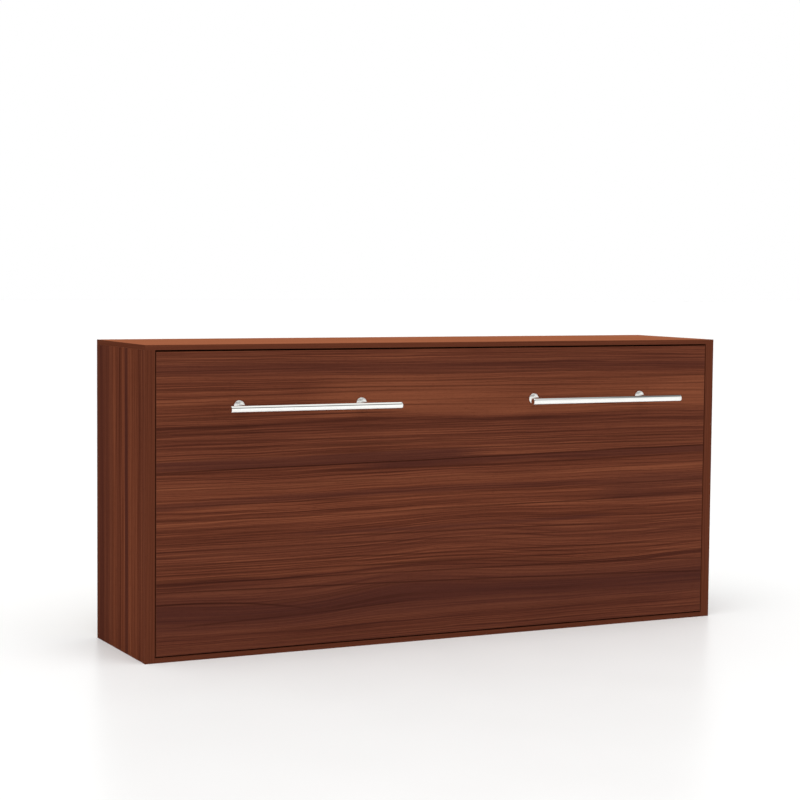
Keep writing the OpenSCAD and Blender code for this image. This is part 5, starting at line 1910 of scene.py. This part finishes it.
@dataclass
class Cabinet:
    """The standing cabinet: laminated boards, bands, back, rails, locks and stops."""

    finishes: Finishes
    copies: Copies
    panels: Panels

    def boards(self) -> None:
        """Makes the boards of the cabinet and its back."""
        f = self.finishes
        for board in (
            Board("top_board", f.top, f.core, (Side.BACK,)),
            Board("bottom_board", f.flat, f.core, (Side.BACK, Side.FOOT)),
            Board("left_side_panel", f.side, f.glued_core, (Side.BACK, Side.FOOT, Side.HEAD)),
            Board("right_side_panel", f.side, f.glued_core, (Side.BACK, Side.FOOT, Side.HEAD)),
            Board("upper_wall_rail", f.rail, f.core, (Side.FOOT, Side.HEAD)),
            Board("lower_wall_rail", f.rail, f.core, (Side.FOOT, Side.HEAD)),
        ):
            self.panels.board(board, CABINET)
        self.panels.bands(
            "carcass_edge_bands", "cabinet_bands", CABINET,
            ("top_board", "bottom_board", "left_side_panel", "right_side_panel"),
        )
        dressed("back_panel", "back_hardboard", f.hardboard, 0.2 * MM, CABINET, "hardboard")

    def fittings(self) -> None:
        """Makes the locks, pivot plates, strut brackets and stops."""
        f = self.finishes
        for node, name, finish, slot, radius in (
            ("cam_locks", "cam_lock_faces", f.zinc, "zinc_steel", 0.25 * MM),
            ("cam_bolts", "cam_bolts_turned", f.zinc, "zinc_steel", 0.2 * MM),
            ("dowels", "dowels_cut", f.dowel, "dowel_wood", 0.6 * MM),
            ("left_pivot_plate", "left_pivot_plate_plated", f.zinc, "zinc_steel", 0.5 * MM),
            ("right_pivot_plate", "right_pivot_plate_plated", f.zinc, "zinc_steel", 0.5 * MM),
            ("pivot_pins", "pivot_pins_ground", f.rod, "chrome", 0.5 * MM),
            ("left_strut_bracket", "left_strut_bracket_plated", f.zinc, "zinc_steel", 0.4 * MM),
            ("right_strut_bracket", "right_strut_bracket_plated", f.zinc, "zinc_steel", 0.4 * MM),
            ("stop_blocks", "stop_blocks_moulded", f.plastic, "black_plastic", 1.0 * MM),
            ("stop_bumpers", "stop_bumpers_moulded", f.rubber, "black_rubber", 1.2 * MM),
        ):
            dressed(node, name, finish, radius, CABINET, slot)
        for node, name in (
            ("pivot_plate_screws", "pivot_plate_screw_heads"),
            ("strut_bracket_screws", "strut_bracket_screw_heads"),
            ("stop_block_screws", "stop_block_screw_heads"),
        ):
            places, aims = inward_heads(node)
            piece = self.copies.make(name, countersunk_screw(), places, aims, f.zinc, seed=len(places))
            seated(piece, CABINET, "zinc_steel", [node])

    def build(self) -> None:
        """Makes everything that stays on the wall."""
        self.boards()
        self.fittings()


def inward_heads(node: str) -> tuple[list[Vector], list[Vector]]:
    """Where the heads of screws driven outwards from the middle of the bed stand, and their aims."""
    places, aims = [], []
    for low, high in solids_of(node):
        on_right = low.x > 0
        mid = middle_of((low, high))
        places.append(Vector((low.x if on_right else high.x, mid.y, mid.z)))
        aims.append(LEFTWARD if on_right else RIGHTWARD)
    return places, aims


def countersunk_screw(
    head: float = 8 * MM, core: float = 4 * MM, length: float = 22 * MM, turns: int = 6
) -> bpy.types.Object:
    """A wood screw with a flat head at the origin, a driver's cross in it and a thread of rings."""
    sink, root, tip = (head - core) / 2, core / 2 - 0.5 * MM, 3 * MM
    outline = [(0.0, 0.0), (-0.05 * MM, head / 2 - 0.4 * MM), (-0.3 * MM, head / 2), (-sink, core / 2)]
    pitch = (length - sink - tip) / turns
    for k in range(turns):
        start = -sink - tip / 2 - k * pitch
        outline += [(start, root), (start - pitch / 2, core / 2), (start - pitch * 0.95, root)]
    outline += [(-length, 0.0)]
    screw = turned("wood_screw", outline, Vector(), UPWARD, 20)
    recess = prism("recess", cross(2.1 * MM, 0.5 * MM), -1.5 * MM, 1 * MM, 0.55)
    return carved(screw, recess)


def socket_bolt(head: float, rise: float, shank: float, length: float) -> bpy.types.Object:
    """A button-headed bolt with a hexagon socket, standing on the origin."""
    dome = [(rise * math.cos(a), head / 2 * math.sin(a)) for a in np.radians(np.linspace(0, 78, 6))]
    stem = [(0.0, head / 2), (0.0, shank / 2), (-length, shank / 2), (-length, 0.0)]
    bolt = turned("button_bolt", dome + stem, Vector(), UPWARD, 32)
    recess = prism("recess", hexagon(shank * 0.66), rise * 0.35, rise * 2)
    return carved(bolt, recess)


def hexagon_bolt(across: float, rise: float, shank: float, length: float) -> bpy.types.Object:
    """A hexagon-headed bolt on a thin washer, standing on the origin."""
    washer, top = 0.6 * MM, rise + 0.02 * MM
    head = prism("hexagon_head", hexagon(across), washer, rise)
    crown = [(0.0, 0.0), (0.0, across), (rise - 0.9 * MM, across * 0.62), (top, across * 0.46), (top, 0.0)]
    carved(head, turned("chamfer", crown, Vector(), UPWARD, 32), keep_common=True)
    stem = [(washer, 0.0), (washer, across * 0.72), (0.0, across * 0.76), (0.0, shank / 2)]
    stem += [(-length, shank / 2), (-length, 0.0)]
    return joined("hexagon_bolt", [turned("stem", stem, Vector(), UPWARD, 32), head])


@dataclass
class FoldingFrame:
    """The steel frame on the back of the front panel, with its hinge plates, slats and hoops.

    Attributes:
        finishes: The bed's materials.
        copies: The recipe that sets out bolts.
        swept: The sweep that makes the weld beads.
        slats: The sizes of the slats.
        bead: A weld bead's radius.
        bead_wave: The length of one ripple of a bead.
    """

    finishes: Finishes
    copies: Copies
    swept: Swept
    slats: SlatSizes
    bead: float = 2.0 * MM
    bead_wave: float = 2.4 * MM

    def _tubes(self) -> None:
        """Dresses the welded tubes and their end plugs."""
        f = self.finishes
        for node in (
            "frame_lower_rail", "frame_upper_rail", "frame_left_end_tube", "frame_right_end_tube",
            "frame_cross_tubes",
        ):
            dressed(node, node + "_coated", f.powder, 0.3 * MM, BED, "frame_paint", 50.0)
        dressed("frame_end_plugs", "frame_end_caps", f.plastic, 0.6 * MM, BED, "black_plastic")

    def _bead_path(self, x: float, half: float, z: float, front: float, back: float) -> list[Vector]:
        """Three sides of a joint, from the panel round the back of the tube."""
        corner, round_off = 3 * MM, 0.9 * MM
        rising = [
            (half, front + 2 * MM), (half, back - corner), (half - round_off, back - round_off),
            (half - corner, back),
        ]
        path = [(x - out, y) for out, y in rising] + [(x + out, y) for out, y in reversed(rising)]
        return [Vector((place, y, z)) for place, y in path]

    def _welds(self) -> None:
        """Lays weld beads where the tubes meet."""
        lower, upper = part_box("frame_lower_rail"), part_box("frame_upper_rail")
        paths = []
        for low, high in solids_of("frame_cross_tubes"):
            middle = (low.x + high.x) / 2
            for z in (lower[1].z, upper[0].z):
                paths.append(self._bead_path(middle, (high.x - low.x) / 2, z, low.y, high.y))
        for low, high in (lower, upper):
            middle = (low.z + high.z) / 2
            for x in (low.x, high.x):
                path = self._bead_path(middle, (high.z - low.z) / 2, x, low.y, high.y)
                paths.append([Vector((p.z, p.y, p.x)) for p in path])
        piece = self.swept.make(
            "frame_weld_beads", paths, False, self.bead, self.finishes.weld, step=0.6 * MM, ripple=0.16,
            wave=self.bead_wave,
        )
        seated(piece, BED, "frame_paint")

    def _hinges(self) -> None:
        """Dresses the hinge plates, bushings and their bolts."""
        f = self.finishes
        for side in SIDES:
            node = f"{side}_hinge_plate"
            dressed(node, node + "_plated", f.zinc, 0.8 * MM, BED, "zinc_steel")
        dressed("hinge_bushings", "hinge_bushings_turned", f.bronze, 0.3 * MM, BED, "bronze")
        boxes = solids_of("hinge_bolts")
        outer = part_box("right_hinge_plate")[1].x
        middles = [middle_of(box) for box in boxes]
        places = [Vector((math.copysign(outer, mid.x), mid.y, mid.z)) for mid in middles]
        aims = [Vector((math.copysign(1, place.x), 0, 0)) for place in places]
        part = hexagon_bolt(12.6 * MM, abs(boxes[-1][1].x) - outer, 8 * MM, 13.5 * MM)
        bolts = self.copies.make("hinge_bolts_plated", part, places, aims, f.zinc, seed=4)
        seated(bolts, BED, "zinc_steel", ["hinge_bolts"])

    def _bolts(self) -> None:
        """Sets the bolts that hold the panel and the handles."""
        rise = 4 * MM
        for node, length in (("panel_bolts", 34 * MM), ("handle_bolts", 33 * MM)):
            places = [
                Vector((middle_of(box).x, box[1].y - rise, middle_of(box).z)) for box in solids_of(node)
            ]
            part = socket_bolt(12 * MM, rise, 6 * MM, length)
            aims = [BACKWARD] * len(places)
            piece = self.copies.make(node + "_plated", part, places, aims, self.finishes.zinc, seed=6)
            seated(piece, BED, "zinc_steel", [node])

    def _slat_base(self) -> None:
        """Makes the slats and their holders."""
        f = self.finishes
        seated(Slats().make("sprung_slats", self.slats, f.beech), BED, "birch", ["slats"])
        dressed("slat_holders", "slat_caps", f.plastic, 0.8 * MM, BED, "black_plastic")
        dressed("mattress_hoops", "mattress_bows", f.wire, 0.6 * MM, BED, "zinc_steel", 50.0)

    def build(self) -> None:
        """Makes everything steel on the bed, and its slats."""
        self._tubes()
        self._welds()
        self._hinges()
        self._bolts()
        self._slat_base()


@dataclass
class Front:
    """The front panel with its bands and the two chrome handles.

    Attributes:
        finishes: The bed's materials.
        panels: The maker of its board and bands.
        lip: How far a bar's end is rounded.
        support: Where the ring stands that ends the rounding's smooth shade.
    """

    finishes: Finishes
    panels: Panels
    lip: float = 0.5 * MM
    support: float = 1.5 * MM

    def _handle(self, side: str) -> bpy.types.Object:
        """The tube of one handle; a ring beside each lip keeps its long side straight to the light."""
        low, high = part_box(f"{side}_handle_bar")
        mid = (low + high) / 2
        radius = (high.z - low.z) / 2
        wall, shave = 1.5 * MM, 0.15 * MM
        length = high.x - low.x
        lip = [
            (0.0, radius - self.lip), (shave, radius - shave), (self.lip, radius), (self.support, radius)
        ]
        outline = lip + [(length - along, out) for along, out in reversed(lip)]
        outline += [(length, radius - wall), (0.0, radius - wall)]
        start = Vector((low.x, mid.y, mid.z))
        return turned(f"{side}_chrome_bar", outline, start, RIGHTWARD, 128, ring=True)

    def _post(self, box: Box, count: int) -> bpy.types.Object:
        """A post whose end is cut to sit on the round of the bar."""
        low, high = box
        mid = (low + high) / 2
        radius = (high.z - low.z) / 2
        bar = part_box("left_handle_bar")
        bar_mid = middle_of(bar)
        bar_radius = (bar[1].z - bar[0].z) / 2
        length = high.y - bar_mid.y - bar_radius
        outline = [(0.0, 0.0), (0.0, radius), (length - 2 * MM, radius), (length, radius), (length, 0.0)]
        post = turned(f"post_{count}", outline, Vector((mid.x, high.y, mid.z)), FORWARD, 64)
        points = points_of(post)
        end = points[:, 1] < bar_mid.y + bar_radius + 1e-6
        rise = points[:, 2] - bar_mid.z
        seat = bar_mid.y + np.sqrt(np.maximum(bar_radius ** 2 - rise ** 2, 0))
        points[:, 1] = np.where(end, seat - 0.02 * MM, points[:, 1])
        set_points(post, points)
        return post

    def _rosette(self, box: Box, count: int) -> bpy.types.Object:
        """A low dome round the foot of a post."""
        low, high = box
        mid = (low + high) / 2
        radius, height, hole = (high.z - low.z) / 2, high.y - low.y, 6 * MM
        rim = 2 * MM
        rise = height - rim
        dome = (radius ** 2 + rise ** 2) / (2 * rise)
        turn = np.linspace(math.asin(radius / dome) * 0.985, math.asin(hole / dome), 20)
        outline = [(0.0, hole), (0.0, radius), (rim - 0.4 * MM, radius)]
        outline += [(rim - 0.1 * MM, radius - 0.12 * MM)]
        outline += [(height - dome + dome * math.cos(a), dome * math.sin(a)) for a in turn]
        return turned(f"rosette_{count}", outline, Vector((mid.x, high.y, mid.z)), FORWARD, ring=True)

    def _cap(self, box: Box, count: int) -> bpy.types.Object:
        """The plug in the end of a bar, with a softly domed face."""
        low, high = box
        mid = (low + high) / 2
        radius = (high.z - low.z) / 2
        face, bore = 2 * MM, radius - 1.5 * MM
        at_left = any(abs(low.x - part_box(f"{side}_handle_bar")[0].x + face) < 1 * MM for side in SIDES)
        start, aim = (high.x, LEFTWARD) if at_left else (low.x, RIGHTWARD)
        length = high.x - low.x
        outline = [(0.0, 0.0), (0.0, bore - 0.4 * MM), (0.4 * MM, bore), (length - face, bore)]
        outline += [(length - face, radius), (length - 0.7 * MM, radius)]
        outline += [(length - 0.2 * MM, radius - 0.2 * MM), (length - 0.02 * MM, radius - 0.8 * MM)]
        outline += [(length, 0.0)]
        return turned(f"cap_{count}", outline, Vector((start, mid.y, mid.z)), aim)

    def build(self) -> None:
        """Makes the panel, its bands and the handles."""
        f = self.finishes
        self.panels.board(Board("front_panel", f.front, f.core), BED)
        self.panels.bands("front_panel_edge_bands", "front_bands", BED, ("front_panel",))
        for side in SIDES:
            seated(painted(self._handle(side), f.chrome), BED, "chrome", [f"{side}_handle_bar"])
        for node, name, make, finish in (
            ("handle_posts", "chrome_posts", self._post, f.satin),
            ("handle_rosettes", "chrome_rosettes", self._rosette, f.satin),
            ("handle_end_caps", "chrome_end_caps", self._cap, f.chrome),
        ):
            made = [make(box, count) for count, box in enumerate(solids_of(node))]
            seated(painted(joined(name, made), finish), BED, "chrome", [node])


@dataclass
class GasStruts:
    """The two gas struts: enamelled cylinders on the cabinet, chromed rods that slide in them."""

    finishes: Finishes

    def build(self) -> None:
        """Dresses each strut's pieces on their own bodies."""
        f = self.finishes
        for side in SIDES:
            for part, finish, slot, radius, body in (
                ("cylinder", f.enamel, "cylinder_paint", 0.9 * MM, "cylinder"),
                ("gland", f.zinc, "zinc_steel", 0.4 * MM, "cylinder"),
                ("rod", f.rod, "chrome", 0.5 * MM, "rod"),
                ("rod_end", f.zinc, "zinc_steel", 0.6 * MM, "rod"),
            ):
                node = f"{side}_strut_{part}"
                dressed(node, node + "_finished", finish, radius, f"{side}_strut_{body}", slot, 50.0)


@dataclass
class Studio:
    """A white studio: pale floor, soft lamps overhead and in front, and the photograph's camera.

    Attributes:
        eye: Where the camera stands.
        yaw: Its turn about Z in degrees.
        pitch: Its tilt in degrees.
        roll: Its lean in degrees.
        lens: Its focal length in millimetres.
        dome: The even light from all round.
        sun: The strength of the high soft light.
        spread: That light's width in degrees.
        floor_tone: The floor's colour.
        floor_half: Half the floor's width.
        wall_tone: What metal sees at the height of the walls, below the seam.
        high_tone: What it sees higher up.
        seam_tone: What it sees where the walls end.
        corner_tone: What it sees high up on the right and at the back.
    """

    eye: tuple[float, float, float] = (-3.0143, -5.9047, 1.2258)
    yaw: float = -26.5555
    pitch: float = -3.849
    roll: float = -0.5127
    lens: float = 87.57
    dome: float = 0.62
    sun: float = 2.0
    spread: float = 70.0
    floor_tone: Tone = (0.9, 0.9, 0.895, 1.0)
    floor_half: float = 60.0
    wall_tone: Tone = (1.06, 1.055, 1.04, 1.0)
    high_tone: Tone = (0.96, 0.96, 0.95, 1.0)
    seam_tone: Tone = (0.10, 0.11, 0.11, 1.0)
    corner_tone: Tone = (0.20, 0.21, 0.21, 1.0)

    def _camera(self) -> None:
        """Sets up the camera."""
        data = bpy.data.cameras.new("view")
        data.lens = self.lens
        camera = bpy.data.objects.new("view", data)
        bpy.context.scene.collection.objects.link(camera)
        turn = (
            Matrix.Rotation(math.radians(self.yaw), 3, "Z")
            @ Matrix.Rotation(math.radians(self.pitch), 3, "X")
            @ Matrix.Rotation(math.radians(self.roll), 3, "Y")
            @ Matrix.Rotation(math.radians(90), 3, "X")
        )
        camera.matrix_world = Matrix.Translation(self.eye) @ turn.to_4x4()
        bpy.context.scene.camera = camera

    def _floor(self) -> None:
        """Lays a plain pale floor."""
        h = self.floor_half
        mesh = mesh_of("floor", [(-h, -h, 0), (h, -h, 0), (h, h, 0), (-h, h, 0)], [(0, 1, 2, 3)])
        floor = link_object("floor", mesh)
        s = Shading("studio_floor")
        rough = s.span(s.noise(s.join(*s.place()), 3.0), 0.3, 0.7, 0.30, 0.34)
        finish = s.done(Base_Color=self.floor_tone, Roughness=rough, Specular_IOR_Level=0.11)
        painted(floor, finish)

    def _sun(self) -> None:
        """Adds one very soft light from high in front, a little to the left."""
        data = bpy.data.lights.new("high_soft", "SUN")
        data.energy = self.sun
        data.angle = math.radians(self.spread)
        lamp = bpy.data.objects.new("high_soft", data)
        lamp.visible_glossy = False
        aim = Vector((0.18, 0.42, -1.0))
        lamp.matrix_world = aim.to_track_quat("-Z", "Y").to_matrix().to_4x4()
        bpy.context.scene.collection.objects.link(lamp)

    def _world(self) -> None:
        """Fills the room with even light; metal sees it as white with a grey seam and a grey corner."""
        world = bpy.data.worlds.new("studio")
        world.use_nodes = True
        bpy.context.scene.world = world
        w = ShaderTree(world.node_tree)
        path = w.node("ShaderNodeLightPath").outputs
        seen = w.maths("MAXIMUM", path["Is Camera Ray"], path["Is Transmission Ray"])
        parts = w.node("ShaderNodeSeparateXYZ")
        w.put(parts.inputs[0], w.node("ShaderNodeTexCoord").outputs["Generated"])
        sideways, onward, up = parts.outputs
        stops = (
            (0.40, self.wall_tone), (0.48, self.seam_tone), (0.72, self.seam_tone), (0.79, self.high_tone)
        )
        seam = w.ramp(up, stops)
        behind = w.maths("MULTIPLY", w.span(onward, -0.3, -0.1), w.span(up, 0.38, 0.5))
        above = w.maths("MAXIMUM", w.span(up, 0.62, 0.70), behind)
        corner = w.maths("MULTIPLY", w.span(sideways, 0.485, 0.55), above)
        plain_wall = w.maths("MAXIMUM", w.span(sideways, 0.48, 0.52), w.span(onward, -0.45, -0.3))
        room = w.blend(corner, w.blend(plain_wall, seam, self.high_tone), self.corner_tone)
        plain = w.blend(seen, (self.dome,) * 3 + (1.0,), (1.0,) * 4)
        background = w.tree.nodes["Background"]
        w.put(background.inputs["Color"], w.blend(path["Is Glossy Ray"], plain, room))

    def build(self) -> None:
        """Sets the stage."""
        scene = bpy.context.scene
        scene.view_settings.view_transform = "Standard"
        self._camera()
        self._floor()
        self._world()
        self._sun()


def main() -> None:
    """Builds the bed's pieces in order."""
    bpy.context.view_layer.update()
    slats = SlatSizes.read()
    mattress_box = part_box("mattress")
    quilt = QuiltSizes(*mattress_box)
    finishes = Finishes(slats, quilt)
    copies, swept = Copies(), Swept()
    Studio().build()
    panels = Panels(finishes)
    Cabinet(finishes, copies, panels).build()
    Front(finishes, panels).build()
    FoldingFrame(finishes, copies, swept, slats).build()
    Mattress(finishes, swept, quilt).build()
    Straps(finishes, quilt).build()
    GasStruts(finishes).build()


if __name__ == "__main__":
    main()
